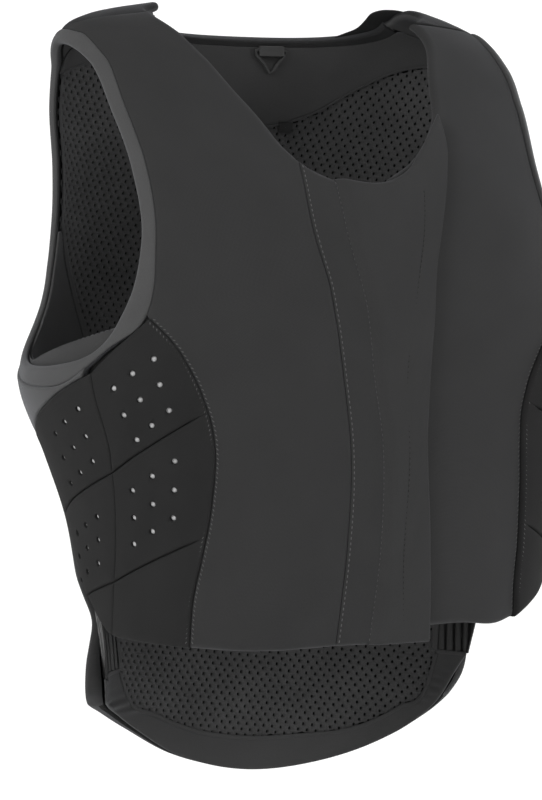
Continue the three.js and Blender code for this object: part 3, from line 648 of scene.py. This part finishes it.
SOFTSHELL = cloth("softshell", 33, cloud=0.06)
FLAP_CLOTH = cloth("flap_softshell", 35, cloud=0.06)
BEVEL = cloth("bevel_knit", 51, sheen=0.1, weave=0.0008, cloud=0.06, specular=0.2)
PAD_CLOTH = cloth("pad_cloth", 27, sheen=0.0, cloud=0.08, specular=0.08)
BAND_CLOTH = cloth("band_knit", 20, rough=0.75, sheen=0.04, weave=0.0014, bump=0.4, specular=0.12)
LINING_CLOTH = cloth("plain_lining", 42, cloud=0.06)
MESH_CLOTH = cloth("mesh_knit", 46, weave=0.0012, bump=0.6, fleck=0.35)
BACKING = cloth("backing", 12, sheen=0.0, specular=0.05)
WAIST_CLOTH = cloth("waist_stretch", 12, rough=0.35, sheen=0.0, weave=0.0009, bump=0.1, specular=0.22)
BINDING = cloth("binding_tape", 18, weave=0.0011, bump=0.5)
# Pale stitch thread: partly the thread's own tone, partly a painted highlight for the light the stitches
# catch
THREAD_AND_PAINTED_HIGHLIGHT = plain("thread", 66, rough=0.6, scale=2500)
DARK_THREAD = plain("dark_thread", 14, rough=0.6, scale=2500)
# Near-black dots that stand for the shade inside the needle holes: painted shade
PAINTED_SHADE_DOT = plain("pit_painted_shade", 4, rough=0.9)
FOAM = plain("light_foam", 150, rough=0.9, scale=1500, fleck=0.12)
LABEL_CLOTH = plain("label_satin", 14, rough=0.45)
LOOP_CLOTH = plain("loop_tape", 44, rough=0.8, scale=1600)
LABEL_DOT = plain("label_dot", 210, rough=0.6)
HOOKS = plain("hook_tape", 14, rough=0.8, scale=1800, bump=0.8)

# Borders shared by the panels

ARMHOLE_STEPS = 240


def armhole_seam(start, end):
    return through(ARMHOLE_SEAM, ARMHOLE_STEPS, True, start, end)


def armhole_opening(start, end):
    return through(ARMHOLE_OPENING, ARMHOLE_STEPS, True, start, end)


THREADS, DARK_THREADS, PAINTED_SHADE_DOTS = Rows(), Rows(), Rows()
EDGE_STITCH = (0.95, 0.42, 0.42)


def front_piece(name, node, grid, face, drop, hollow, material=SOFTSHELL, start=FRONT_START, fill=0.9):
    """A padded front piece: its face less a drop, its back side raised by a hollow."""
    outer = face - drop
    inner = np.minimum(start + hollow, outer - LEAST_THICKNESS)
    soft_piece(node, "softshell", grid, outer, inner, material, fill, name)


# Front panel of the wearer's right
grid = patch(
    straight(ARMHOLE_SEAM[0], NECK_RIGHT[0]), whole_across(HEM_RIGHT),
    chain(armhole_seam(0, 6), whole_down(SIDE_SEAM)), chain(through(NECK_RIGHT), whole_down(LINE_ONE)),
)
far = edge_distances(grid, FRONT_FACE)
neck_part = grid[:, -1:, 1] > LINE_ONE[0][1]
seam_part = grid[:, :1, 1] < SIDE_SEAM[0][1]
drop = np.maximum.reduce([
    np.where(neck_part, rounding(far["right"], 4.5, 6.0), rounding(far["right"], 1.6, 2.2)),
    np.where(seam_part, rounding(far["left"], 0.9, 1.6), rounding(far["left"], 1.2, 5.0)),
    rounding(far["top"], 2.4, 4.0), rounding(far["bottom"], 4.5, 5.0),
]) - wander(grid, 0.35, 130) * np.clip(far["left"] / 20, 0, 1)
hollow = np.where(neck_part, rounding(far["right"], 3.5, 4.0), 0) + rounding(far["bottom"], 3.5, 4.0)
front_piece("front_right", "front_panel_right", grid, FRONT_FACE, drop, hollow)

# Narrow strip between the first and second stitched lines
grid = patch(
    through(NECK_STRIP), straight(LINE_ONE[-1], LINE_TWO[-1]), whole_down(LINE_ONE), whole_down(LINE_TWO),
)
far = edge_distances(grid, FRONT_FACE)
drop = rounded(far, {"left": (1.6, 2.2), "right": (0.5, 1.6), "top": (4.5, 6.0), "bottom": (4.5, 5.0)})
hollow = rounded(far, {"top": (3.5, 4.0), "bottom": (3.5, 4.0)})
front_piece("front_strip", "front_strip_right", grid, FRONT_FACE, drop, hollow)

# Flap over the front opening
grid = patch(
    through(NECK_FLAP), straight(LINE_TWO[-1], FLAP_EDGE[-1]), whole_down(LINE_TWO), whole_down(FLAP_EDGE),
)
far = edge_distances(grid, FLAP_FACE)
root = np.clip(1 - far["left"] / 9, 0, 1)
face = FLAP_FACE + (FRONT_FACE - FLAP_FACE) * root * root * (3 - 2 * root)
drop = rounded(far, {"left": (0.5, 1.6), "right": (1.6, 2.0), "top": (2.2, 3.0), "bottom": (2.0, 2.4)})
drop -= wander(grid, 0.25, 90, 1.0) * np.clip(far["left"] / 10, 0, 1)
under = np.where(far["left"] < 3.5, FRONT_START, FLAP_START)
front_piece("flap", "placket_flap", grid, face, drop, 0, FLAP_CLOTH, under, 0.7)

# Front panel of the wearer's left
shoulder_left = (84.5, -15.3)
left_armhole = mirror(armhole_seam(0, 6))
grid = patch(
    straight(NECK_LEFT[0], shoulder_left), whole_across(HEM_LEFT),
    chain(through(NECK_LEFT), whole_down(LEFT_PANEL_EDGE)),
    chain(straight(shoulder_left, left_armhole[6], 4), left_armhole[6:], whole_down(SIDE_SEAM_LEFT)),
)
far = edge_distances(grid, LEFT_FACE)
neck_part = grid[:, :1, 1] > LEFT_PANEL_EDGE[0][1]
seam_part = grid[:, -1:, 1] < SIDE_SEAM_LEFT[0][1]
drop = np.maximum.reduce([
    np.where(seam_part, rounding(far["right"], 0.9, 1.6), rounding(far["right"], 1.2, 5.0)),
    np.where(neck_part, rounding(far["left"], 3.4, 5.0), rounding(far["left"], 3.0, 8.0)),
    rounding(far["top"], 2.4, 4.0), rounding(far["bottom"], 3.2, 5.0),
]) - wander(grid, 0.35, 130, 2.0) * np.clip(far["right"] / 20, 0, 1)
hollow = np.where(neck_part, rounding(far["left"], 2.4, 4.0), 0) + rounding(far["bottom"], 2.4, 4.0)
front_piece("front_left", "front_panel_left", grid, LEFT_FACE, drop, hollow)

# Pieces that come once on each side

SIDES = [
    ("right", lambda line: np.asarray(line, float), NECK_SHOULDER, SIDE_SEAM, PAD_COLUMN, REAR_SEAM,
     np.array(BACK_EDGE, float), GROOVES_RIGHT, LINING_EDGE, WAIST_REAR, WAIST_FRONT, (0, 0)),
    ("left", mirror, NECK_SHOULDER_LEFT, SIDE_SEAM_LEFT, PAD_COLUMN_LEFT, REAR_SEAM_LEFT,
     np.array(BACK_EDGE_LEFT, float), GROOVES_LEFT, LINING_EDGE_LEFT, WAIST_REAR_LEFT, WAIST_FRONT_LEFT,
     PERFORATION_SHIFT_LEFT),
]


def hole_places(name, turn, shift):
    first, along, step = (np.array(v, float) for v in PERFORATIONS[name])
    places = [first + c * along + r * step + np.array(shift) for r in range(3) for c in range(3)]
    return turn(np.array(places))


def add_rings(points, centre, n, sides, rings):
    """Adds circles of points about the line n through the centre, each given as (level, radius)."""
    side = np.cross(n, [0, 0, 1.0])
    side /= np.linalg.norm(side)
    up = np.cross(side, n)
    for level, radius in rings:
        for k in range(sides):
            a = 2 * math.pi * k / sides
            points.append(centre + n * level + radius * (math.cos(a) * side + math.sin(a) * up))


def drill_holes(piece, places, face):
    """Cuts round holes into the face of a piece."""
    points, faces = [], []
    sides = 16
    for centre, n in zip(place(places, face), normals(places[:, 0], places[:, 1])):
        base = len(points)
        add_rings(points, centre, n, sides, ((3.0, HOLE_RADIUS), (-HOLE_DEPTH, HOLE_RADIUS * 0.92)))
        faces += [(a, d, c, b) for a, b, c, d in between_rings(base, base + sides, sides)]
        faces += [tuple(range(base, base + sides))[::-1], tuple(range(base + sides, base + 2 * sides))]
    mesh = bpy.data.meshes.new("drill")
    mesh.from_pydata((np.array(points) * MM).tolist(), [], faces)
    drill = linked("drill", mesh)
    cut = piece.modifiers.new("holes", "BOOLEAN")
    cut.operation = "DIFFERENCE"
    cut.object = drill
    cut.solver = "EXACT"
    bpy.context.view_layer.update()
    evaluated = piece.evaluated_get(bpy.context.evaluated_depsgraph_get())
    result = bpy.data.meshes.new_from_object(evaluated)
    piece.modifiers.clear()
    old = piece.data
    piece.data = result
    bpy.data.meshes.remove(old)
    bpy.data.objects.remove(drill)


def foam_plugs(places, face, points, faces):
    """Slightly domed foam discs at the bottoms of the holes."""
    sides = 14
    rings = ((-0.2, 1.05), (0.25, 0.85), (0.6, 0.45))
    dome = [(level - HOLE_DEPTH, part * HOLE_RADIUS) for level, part in rings]
    for centre, n in zip(place(places, face), normals(places[:, 0], places[:, 1])):
        base = len(points)
        add_rings(points, centre, n, sides, dome)
        points.append(centre + n * (-HOLE_DEPTH + 0.7))
        points.append(centre + n * (-HOLE_DEPTH - 0.6))
        for low in (base, base + sides):
            for a, b, c, d in between_rings(low, low + sides, sides):
                faces.extend([(a, d, c), (a, c, b)])
        for low, high, _, next_low in between_rings(base, base + 2 * sides, sides):
            next_high = next_low + 2 * sides
            faces.extend([(high, next_high, base + 3 * sides), (next_low, low, base + 3 * sides + 1)])


foam_points, foam_faces = [], []

for (side, turn, neck, seam_rows, column_rows, rear_rows, back_edge, grooves, lining_rows, waist_rear,
     waist_front, shift) in SIDES:

    # Bevelled edge round the arm opening
    opening_line = turn(through(ARMHOLE_OPENING, ARMHOLE_STEPS, True)[:-1])
    seam_line = turn(through(ARMHOLE_SEAM, ARMHOLE_STEPS, True)[:-1])
    across_parts = np.array([0, 0.03, 0.08, 0.16, 0.28, 0.42, 0.56, 0.7, 0.82, 0.91, 0.97, 1.0])
    grid = between(opening_line, seam_line, across_parts)
    bevel = LIP + (SIDE_FACE - 1.2 - LIP) * across_parts**0.9
    bevel = bevel - rounding(across_parts * 12, 2.2, 2.4) - rounding((1 - across_parts) * 12, 1.2, 2.5)
    inner = FOAM_START - 0.4 + rounding(across_parts * 12, 1.6, 2.0)
    soft_piece(f"armhole_edge_{side}", "bevel", grid, bevel, inner, BEVEL, 0.8, closed_round=True)

    # Stretch band over the shoulder
    grid = strip(turn(armhole_seam(17, 16)), through(neck), 3.0)
    far = edge_distances(grid, BAND_FACE)
    drop = rounded(far, {"left": (1.5, 4.0), "right": (3.4, 4.5), "top": (1.5, 3.0), "bottom": (1.5, 3.0)})
    outer = BAND_FACE - drop + wander(grid, 0.3, 40, 3.0)
    inner = np.minimum(FRONT_START + rounding(far["right"], 3.0, 4.0), outer - LEAST_THICKNESS)
    soft_piece(f"shoulder_band_{side}", "stretch_band", grid, outer, inner, BAND_CLOTH, 0.6)

    # Gusset under the arm
    first = grooves[0]
    column_top = np.array([float(smooth(column_rows, first[1], 1, 0)), first[1]])
    rear_top = np.array([float(smooth(back_edge, first[2], 1, 0)), first[2]])
    tip = straight(column_top, rear_top, 14)[1]
    grid = patch(
        turn(armhole_seam(10, 7.5)), straight(rear_top, tip), down(back_edge, -241, first[2]),
        straight(turn(armhole_seam(7.5, 8))[0], tip), step=3.0,
    )
    far = edge_distances(grid, SIDE_FACE)
    drop = rounded(far, {"left": (2.0, 3.0), "right": (1.6, 3.0), "top": (1.2, 3.0), "bottom": (2.4, 3.0)})
    soft_piece(f"underarm_gusset_{side}", "perforated_cloth", grid, SIDE_FACE - drop, BENT_START, BEVEL)

    # Foam pads in two columns with grooves between them
    for k, band in enumerate(("upper", "lower", "hem")):
        top_seam, top_column, top_rear = grooves[k]
        low_seam, low_column, low_rear = grooves[k + 1]
        rear_line = back_edge if k == 0 else np.array(rear_rows, float)
        seam = down(seam_rows, top_seam, low_seam)
        column = down(column_rows, top_column, low_column)
        rear = down(rear_line, top_rear, low_rear)
        for where, left, right in (("front", column, seam), ("rear", rear, column)):
            name = f"{band}_{where}"
            grid = strip(left, right, 2.6)
            far = edge_distances(grid, SIDE_FACE)
            low_drop, low_radius = (4.0, 5.0) if band == "hem" else (2.6, 2.2)
            fade = np.ones_like(far["left"])
            if where == "front":
                fade = np.clip((far["right"] - 5) / 9, 0.12, 1)
            drop = np.maximum.reduce([
                rounding(far["left"], 1.0 if where == "front" else 2.2, 2.0),
                rounding(far["right"], 2.4 if where == "front" else 1.0, 2.4),
                rounding(far["top"], 2.6, 2.2) * fade,
                rounding(far["bottom"], low_drop, low_radius) * (1 if band == "hem" else fade),
            ])
            crown = 0.7 * np.tanh(np.minimum.reduce(list(far.values())) / 9)
            outer = SIDE_FACE - drop + crown + wander(grid, 0.2, 50, 5.0)
            piece = shell(f"pad_{name}_{side}_soft", grid, outer, BENT_START, [PAD_CLOTH, LINING_CLOTH])
            if name in PERFORATIONS:
                places = hole_places(name, turn, shift)
                drill_holes(piece, places, HOLE_FACE)
                foam_plugs(places, HOLE_FACE, foam_points, foam_faces)
            keep_padded(piece, "perforated_cloth", f"pad_{name}_{side}")

    # Plain lining behind the pads
    under = turn(armhole_opening(12.75, 6.3))
    right_line = chain(under, down(seam_rows, -212, grooves[3][0]))
    left_line = whole_down(lining_rows)
    column_low = (float(smooth(column_rows, grooves[3][1], 1, 0)), grooves[3][1])
    low_line = chain(straight(left_line[-1], waist_front[0]), straight(waist_front[0], column_low),
                     straight(column_low, right_line[-1]))
    grid = patch(straight(left_line[0], right_line[0]), low_line, left_line, right_line, step=4.0)
    far = edge_distances(grid, 0)
    inner = 0.1 + rounded(far, {"left": (0.5, 1.5)}) + wander(grid, 0.25, 60, 7.0)
    piece = shell(f"side_lining_{side}_soft", grid, LINING_FACE, inner, [LINING_CLOTH, LINING_CLOTH])
    keep_sheet(piece, "plain_lining", grid, [f"pad_upper_rear_{side}_soft"], f"side_lining_{side}")

    # Stretch strip at the side of the tail, in upright folds
    grid = strip(whole_down(waist_rear), whole_down(waist_front), 1.6)
    far = edge_distances(grid, 1)
    folds = WAIST_FOLD * np.sin(far["left"] / WAIST_FOLD_PITCH * 2 * math.pi + 0.06 * grid[..., 1])
    folds *= np.clip(far["left"] / 6, 0, 1) * np.clip(far["right"] / 6, 0, 1)
    piece = shell(f"waist_band_{side}_soft", grid, 1.8 + folds, 0.3 + folds, [WAIST_CLOTH, WAIST_CLOTH])
    keep_sheet(piece, "stretch_band", grid, ["back"], f"waist_band_{side}")

foam = make_object("pad_foam", foam_points, foam_faces, [FOAM])
keep(foam, "perforated_cloth")

# The back

shoulder_seam = (ARMHOLE_SEAM[16], NECK_SHOULDER[4])


def back_top(u):
    (outer_angle, outer_height), (inner_angle, inner_height) = shoulder_seam
    from_side = np.where(u < -180, -360 - u, u)
    slope = (inner_height - outer_height) / (inner_angle - outer_angle)
    along = outer_height + slope * (from_side - outer_angle) - 0.6
    under = smooth(NECK_BACK, u, 0, 1) - BINDING_HEIGHT - 0.3
    return np.where(from_side > inner_angle, np.minimum(along, NECK_BACK[0][1] - BINDING_HEIGHT), under)


top_angles = np.linspace(ARMHOLE_SEAM[16][0], -360 - ARMHOLE_SEAM[16][0], 200)
top_line = np.stack([top_angles, back_top(top_angles)], -1)
back_right = chain(armhole_seam(16, 10), whole_down(BACK_EDGE))
back_left = past_back(chain(mirror(armhole_seam(16, 10)), whole_down(BACK_EDGE_LEFT)))
back_low = across(TAIL_EDGE, back_right[-1][0], back_left[-1][0])
grid = patch(top_line, back_low, back_right, back_left, step=4.0)
far = edge_distances(grid, BACK_FACE)
part = far["left"] / (far["left"] + far["right"])
near_side = np.clip(1 - np.minimum(part, 1 - part) / 0.3, 0, 1)
above_tail = np.clip((grid[..., 1] + 480) / 50, 0, 1)
thinning = near_side**2 * (3 - 2 * near_side) * above_tail**2 * (3 - 2 * above_tail)
drop = rounded(far, {"left": (3.8, 7.0), "right": (3.8, 7.0), "top": (3.0, 6.0), "bottom": (6.0, 8.0)})
outer = BACK_FACE - BACK_SIDE_THINNING * thinning - drop
outer += wander(grid, 0.4, 140, 4.0) * np.clip(np.minimum(far["left"], far["right"]) / 20, 0, 1)
inner = np.minimum(BENT_START + rounding(far["bottom"], 4.0, 6.0), outer - LEAST_THICKNESS)
back = shell("back", grid, outer, inner, [SOFTSHELL, BACKING])
keep_padded(back, "softshell", "back_panel")

neck_line = through(NECK_BACK)
under_line = neck_line - [0, BINDING_HEIGHT]
ends = [straight(neck_line[k], under_line[k]) for k in (0, -1)]
grid = patch(neck_line, under_line, *ends, step=2.0)
far = edge_distances(grid, BACK_FACE)
part = far["left"] / (far["left"] + far["right"])
tape_face = BAND_FACE + (BACK_FACE - 2 - BAND_FACE) * np.sin(math.pi * part) ** 0.6
tape_fold = rounded(far, {"top": (1, 2.2)}) * tape_face * 0.4
piece = shell("neck_binding_soft", grid, tape_face - tape_fold, 0.2 + tape_fold, [BINDING, BINDING])
keep_padded(piece, "binding", "neck_binding")

# Linings inside the back
yoke_line = whole_across(YOKE_SEAM)
yoke_side = straight(top_line[0], YOKE_SEAM[0])
grid = patch(top_line, yoke_line, yoke_side, past_back(mirror(yoke_side)), step=4.0)
far = edge_distances(grid, 0)
inner = 0.1 + rounded(far, {"bottom": (0.6, 1.5)})
piece = shell("yoke_lining", grid, LINING_FACE, inner, [LINING_CLOTH, LINING_CLOTH])
keep_sheet(piece, "plain_lining", grid, ["back"], "back_yoke_lining")

tail_inner = whole_across(TAIL_MESH)
tail_outer = whole_across(TAIL_EDGE)
grid = patch(tail_inner, tail_outer, straight(TAIL_MESH[0], TAIL_EDGE[0]),
             straight(TAIL_MESH[-1], TAIL_EDGE[-1]), step=2.5)
far = edge_distances(grid, 0)
corner = np.exp(-((far["left"] - 34) / 17) ** 2) + np.exp(-((far["right"] - 30) / 15) ** 2)
gather = GATHER * corner * (np.sin(grid[..., 1] * 2 * math.pi / GATHER_PITCH + 0.06 * far["left"]) + 0.6)
gather = gather * np.clip(far["top"] / 4, 0, 1) * np.clip(far["bottom"] / 4, 0, 1)
thinning = rounded(far, {"bottom": (0.7, 2), "top": (0.6, 1.5)})
outer = LINING_FACE - gather
piece = shell("tail_border_soft", grid, outer, 0.2 + thinning - gather, [LINING_CLOTH, LINING_CLOTH])
keep_sheet(piece, "plain_lining", grid, ["back"], "tail_border")

# Mesh lining: a knitted net of staggered oval holes over a dark backing
upper_side = whole_down(MESH_SIDE)
join = straight(MESH_SIDE[-1], LINING_EDGE[0], 2)
left_mesh = chain(upper_side, join, whole_down(LINING_EDGE), whole_down(WAIST_REAR))
right_mesh = past_back(chain(mirror(upper_side), mirror(join), whole_down(LINING_EDGE_LEFT),
                             whole_down(WAIST_REAR_LEFT)))
grid = patch(yoke_line, tail_inner, left_mesh, right_mesh, step=5.0)
mesh_grid = grid
backing = shell("mesh_backing", grid, 2.2, 1.7, [BACKING, BACKING])
keep_sheet(backing, "mesh", grid, ["back"])

MESH_PITCH, MESH_ROW, MESH_TURN = 7.15, 4.25, math.radians(9)


def inside(points, line):
    """Which points lie inside a closed line, in the plane."""
    x, y = points[:, 0], points[:, 1]
    result = np.zeros(len(points), bool)
    ax, ay = line[:, 0], line[:, 1]
    bx, by = np.roll(ax, -1), np.roll(ay, -1)
    for a, b, c, d in zip(ax, ay, bx, by):
        if b == d:
            continue
        cross = (b > y) != (d > y)
        result ^= cross & (x < (c - a) * (y - b) / (d - b) + a)
    return result


def back_map():
    """Flat places (along, up) in millimetres to (angle, height) on the back, by arc length."""
    heights = np.linspace(-560, -20, 271)
    angles = np.linspace(-290, -70, 221)
    ring = np.stack(np.meshgrid(angles, heights), -1)
    p = form(ring[..., 0], ring[..., 1])
    run = runs(p, 1)
    middle = np.argmin(abs(angles + 180))
    run -= run[:, middle][:, None]
    return heights, angles, run, runs(p[:, middle:middle + 1], 0)[:, 0]


HEIGHTS, ANGLES, RUN, RISE = back_map()


def from_flat(flat):
    z = np.interp(flat[:, 1], RISE, HEIGHTS)
    row = np.clip((z - HEIGHTS[0]) / (HEIGHTS[1] - HEIGHTS[0]), 0, len(HEIGHTS) - 1.001)
    i = row.astype(int)
    f = row - i
    u = np.empty(len(flat))
    for k in np.unique(i):
        m = i == k
        low = np.interp(flat[m, 0], RUN[k], ANGLES)
        high = np.interp(flat[m, 0], RUN[k + 1], ANGLES)
        u[m] = low * (1 - f[m]) + high * f[m]
    return np.stack([u, z], -1)


count = 90
ij = np.stack(np.meshgrid(np.arange(-count, count), np.arange(-count, count)), -1).reshape(-1, 2)
flat = np.stack([(ij[:, 0] + 0.5 * (ij[:, 1] % 2)) * MESH_PITCH, ij[:, 1] * MESH_ROW], -1)
spin = np.array([[math.cos(MESH_TURN), -math.sin(MESH_TURN)], [math.sin(MESH_TURN), math.cos(MESH_TURN)]])
flat = flat @ spin.T + [0, RISE[-1] / 2]
flat = flat[(flat[:, 1] > 5) & (flat[:, 1] < RISE[-1] - 5)]
centres = from_flat(flat)
border = np.vstack([yoke_line, right_mesh, tail_inner[::-1], left_mesh[::-1]])
centres_in = inside(centres, border)
flat = flat[centres_in]
cell = np.array([(1, 1), (0, 2), (-1, 1), (-1, -1), (0, -2), (1, -1)]) * [MESH_PITCH / 2, MESH_ROW / 3]
angles = np.radians([30, 90, 150, 210, 270, 330])
hole = np.stack([1.15 * np.cos(angles), 1.5 * np.sin(angles)], -1)
cell, hole = cell @ spin.T, hole @ spin.T
cells = flat[:, None] + cell[None]
holes = flat[:, None] + hole[None]
n = len(flat)
outline = place(from_flat(cells.reshape(-1, 2)), 0.9)
rim = place(from_flat(holes.reshape(-1, 2)), 0.55)
floor = place(from_flat((flat[:, None] + hole[None] * 0.8).reshape(-1, 2)), 1.5)
points = np.vstack([outline, rim, floor])
faces = []
base = np.arange(n)[:, None] * 6
for k in range(6):
    m = (k + 1) % 6
    a, b = base + k, base + m
    faces.append(np.hstack([a, b, b + 6 * n, a + 6 * n]))
    faces.append(np.hstack([a + 6 * n, b + 6 * n, b + 12 * n, a + 12 * n]))
faces = np.vstack(faces)
uv = np.vstack([cells.reshape(-1, 2), holes.reshape(-1, 2), holes.reshape(-1, 2)]) * MM
net = make_object("mesh_net", points, faces, [MESH_CLOTH], uv)
weld = net.modifiers.new("weld", "WELD")
weld.merge_threshold = 0.00002
keep_sheet(net, "mesh", mesh_grid, ["back"], "back_mesh_lining")


def ribbon(name, line, width, slide):
    """A flat tape along a line on the form, moved sideways by slide."""
    side_parts = np.array([-0.5, -0.42, -0.2, 0.0, 0.2, 0.42, 0.5])
    grid = np.stack([offset_line(line, width * part + slide) for part in side_parts], 1)
    edge = rounding((0.5 - abs(side_parts)) * width, TAPE_THICKNESS * 0.8, 0.6)
    half = (TAPE_THICKNESS - edge) / 2
    piece = shell(name, grid, TAPE_DEPTH + half, TAPE_DEPTH - half, [LINING_CLOTH, LINING_CLOTH])
    keep_padded(piece, "plain_lining")


# Tapes over the edges of the mesh and under the waist strips, seen inside the vest
for name, line, width, slide in (
    ("mesh_tape_right", left_mesh, 4.6, -1.7),
    ("mesh_tape_left", right_mesh, 4.6, 1.7),
    ("mesh_tape_yoke", yoke_line, 1.6, 0.0),
    ("mesh_tape_tail", tail_inner, 3.0, 0.0),
    ("waist_tape_right", straight((-132, -469.5), (-105.5, -469.5)), 3.0, 0.0),
    ("waist_tape_left", straight((105.5, -469.5), (119.5, -469.5)), 3.0, 0.0),
):
    tape_line = at_parts(line, np.linspace(0.002, 0.998, STEPS_ALONG_TAPES))
    ribbon(name, tape_line, width, slide)


def roll(name, low_line, high_line, depth, height, material, slot):
    """A soft rolled edge between two lines of places, with a height at each step along them."""
    side_parts = np.linspace(0, 1, 13)
    grid = between(low_line, high_line, side_parts)
    arch = np.sin(math.pi * side_parts[None]) ** 0.5
    outer = depth[:, None] + height[:, None] * arch
    piece = shell(name, grid, outer, depth[:, None] - 0.7 - 0.3 * arch, [material, material])
    keep_padded(piece, slot, fill=0.8)


# Rolled seam over the top of the right front panel, and the raised neck edge of the left shoulder
parts = np.linspace(0, 1, 90)
swell = np.sin(math.pi * parts)
top_seam = at_parts(straight(ARMHOLE_SEAM[0], NECK_RIGHT[0], 60), 0.03 + 0.94 * parts)
roll("shoulder_roll_right", offset_line(top_seam, -4.2), offset_line(top_seam, -1.0),
     BAND_FACE - 0.6 + 0 * swell, 1.5 * swell**0.5, BAND_CLOTH, "stretch_band")
neck_low, neck_high = (at_parts(through(rows), parts) for rows in (ROLL_LOW, ROLL_HIGH))
roll("shoulder_roll_left", neck_low, neck_high,
     BAND_FACE - 1.6 + 2.4 * swell, 0.5 + 2.4 * swell, BAND_CLOTH, "stretch_band")

# Stitches, with near-black dots of painted shade in the needle holes of the flap and the pad columns

# The pale stitch rows carry a painted highlight in their thread colour
THREADS.line(offset_line(down(LINE_ONE, -110, -432), 1.9), FRONT_FACE - 0.1, EDGE_STITCH)
THREADS.line(down(LINE_TWO, -121, -432), FRONT_FACE - 0.5, (0.8, 0.5, 0.3))
PAINTED_SHADE_DOTS.line(down(LINE_THREE, -128, -431), FLAP_FACE - 0.15, (0.75, 0.42, 0.3))
DARK_THREADS.line(down(LINE_THREE, -128, -431), FLAP_FACE - 0.1, (0.9, 0.3, 0.25), phase=0.5)
for seam_rows, low, column_rows, low_column, face, panel_side in (
    (SIDE_SEAM, -434, PAD_COLUMN, -431, FRONT_FACE, 1),
    (SIDE_SEAM_LEFT, -424, PAD_COLUMN_LEFT, -403, LEFT_FACE, -1),
):
    for offset, level in ((panel_side * 1.5, face + 0.02), (-panel_side * 2.1, SIDE_FACE - 0.15)):
        THREADS.line(down(seam_rows, -212, low + 3), level, (0.9, 0.36, 0.36), 3.2, offset=offset,
                     slant=38 if offset > 0 else -38)
    PAINTED_SHADE_DOTS.line(down(column_rows, -250, low_column + 4), SIDE_FACE - 1.3, (0.7, 0.6, 0.3))
for rows, name, material in (
    (THREADS, "seam_stitches_painted_highlight", THREAD_AND_PAINTED_HIGHLIGHT), (DARK_THREADS, "flap_stitches", DARK_THREAD),
    (PAINTED_SHADE_DOTS, "pit_rows_painted_shade", PAINTED_SHADE_DOT),
):
    keep(rows.build(name, material), "softshell")

# Loop, label and hidden strip

dot = Rows()
middle = np.array([LABEL_MIDDLE])
upright = np.array([[0.0, 0.0, 1.0]])
dot.add(place(middle, -1.45), upright, normals(middle[:, 0], middle[:, 1]), (0.8, 0.6, 0.3))
keep(dot.build("label_dot", LABEL_DOT), "label")

for node, material in (("closure_strip", HOOKS), ("hanging_loop", LOOP_CLOTH), ("size_label", LABEL_CLOTH)):
    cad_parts[node].data.materials.clear()
    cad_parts[node].data.materials.append(material)

# Floor, light and camera


def backdrop():
    """A pale round floor that sweeps up into a wall on every side."""
    profile = [(0.02, 0.0), (2.0, 0.0), (4.0, 0.0)]
    for k in range(1, 13):
        a = math.pi / 2 * k / 12
        profile.append((4.0 + 2.0 * math.sin(a), 2.0 * (1 - math.cos(a))))
    profile.append((6.0, 6.0))
    sides = 64
    angles = [2 * math.pi * k / sides for k in range(sides)]
    points = [(r * math.cos(a), r * math.sin(a), z + FLOOR_HEIGHT) for r, z in profile for a in angles]
    faces = [tuple(range(sides))]
    for row in range(len(profile) - 1):
        faces += between_rings(row * sides, (row + 1) * sides, sides)
    mesh = bpy.data.meshes.new("backdrop")
    mesh.from_pydata(points, [], faces)
    pale = Finish("pale_floor", {
        "Base Color": (0.8, 0.8, 0.8, 1), "Roughness": 0.9, "Emission Color": (1, 1, 1, 1),
        "Emission Strength": 0.3,
    })
    mesh.materials.append(pale.material)
    mesh.polygons.foreach_set("use_smooth", [True] * len(mesh.polygons))
    linked("backdrop", mesh)


def area_light(name, place_m, target, size, power):
    data = bpy.data.lights.new(name, "AREA")
    data.shape = "RECTANGLE"
    data.size, data.size_y = size
    data.energy = power
    lamp = linked(name, data)
    lamp.location = place_m
    lamp.rotation_euler = (Vector(target) - Vector(place_m)).to_track_quat("-Z", "Y").to_euler()


def photo_camera():
    azimuth, elevation, distance = math.radians(-28), math.radians(3.5), 2.6
    right = Vector((math.cos(azimuth), math.sin(azimuth), 0))
    back_way = Vector((math.sin(azimuth) * math.cos(elevation), -math.cos(azimuth) * math.cos(elevation),
                       math.sin(elevation)))
    data = bpy.data.cameras.new("camera")
    data.lens, data.sensor_width = 162.5, 36
    camera = linked("camera", data)
    aim = Vector((0, 0, -0.274)) - right * 0.024
    camera.location = aim + back_way * distance
    camera.rotation_euler = (-back_way).to_track_quat("-Z", "Y").to_euler()
    bpy.context.scene.camera = camera


backdrop()
photo_camera()
world = bpy.data.worlds.new("studio")
world.use_nodes = True
world.node_tree.nodes["Background"].inputs["Color"].default_value = (1, 1, 1, 1)
world.node_tree.nodes["Background"].inputs["Strength"].default_value = 0.6
bpy.context.scene.world = world
bpy.context.scene.view_settings.view_transform = "Standard"
area_light("key", (-2.6, -0.9, 1.0), (0, 0, -0.25), (1.4, 1.8), 80)
area_light("fill", (2.3, -1.7, 0.5), (0, 0, -0.25), (1.2, 1.8), 42)
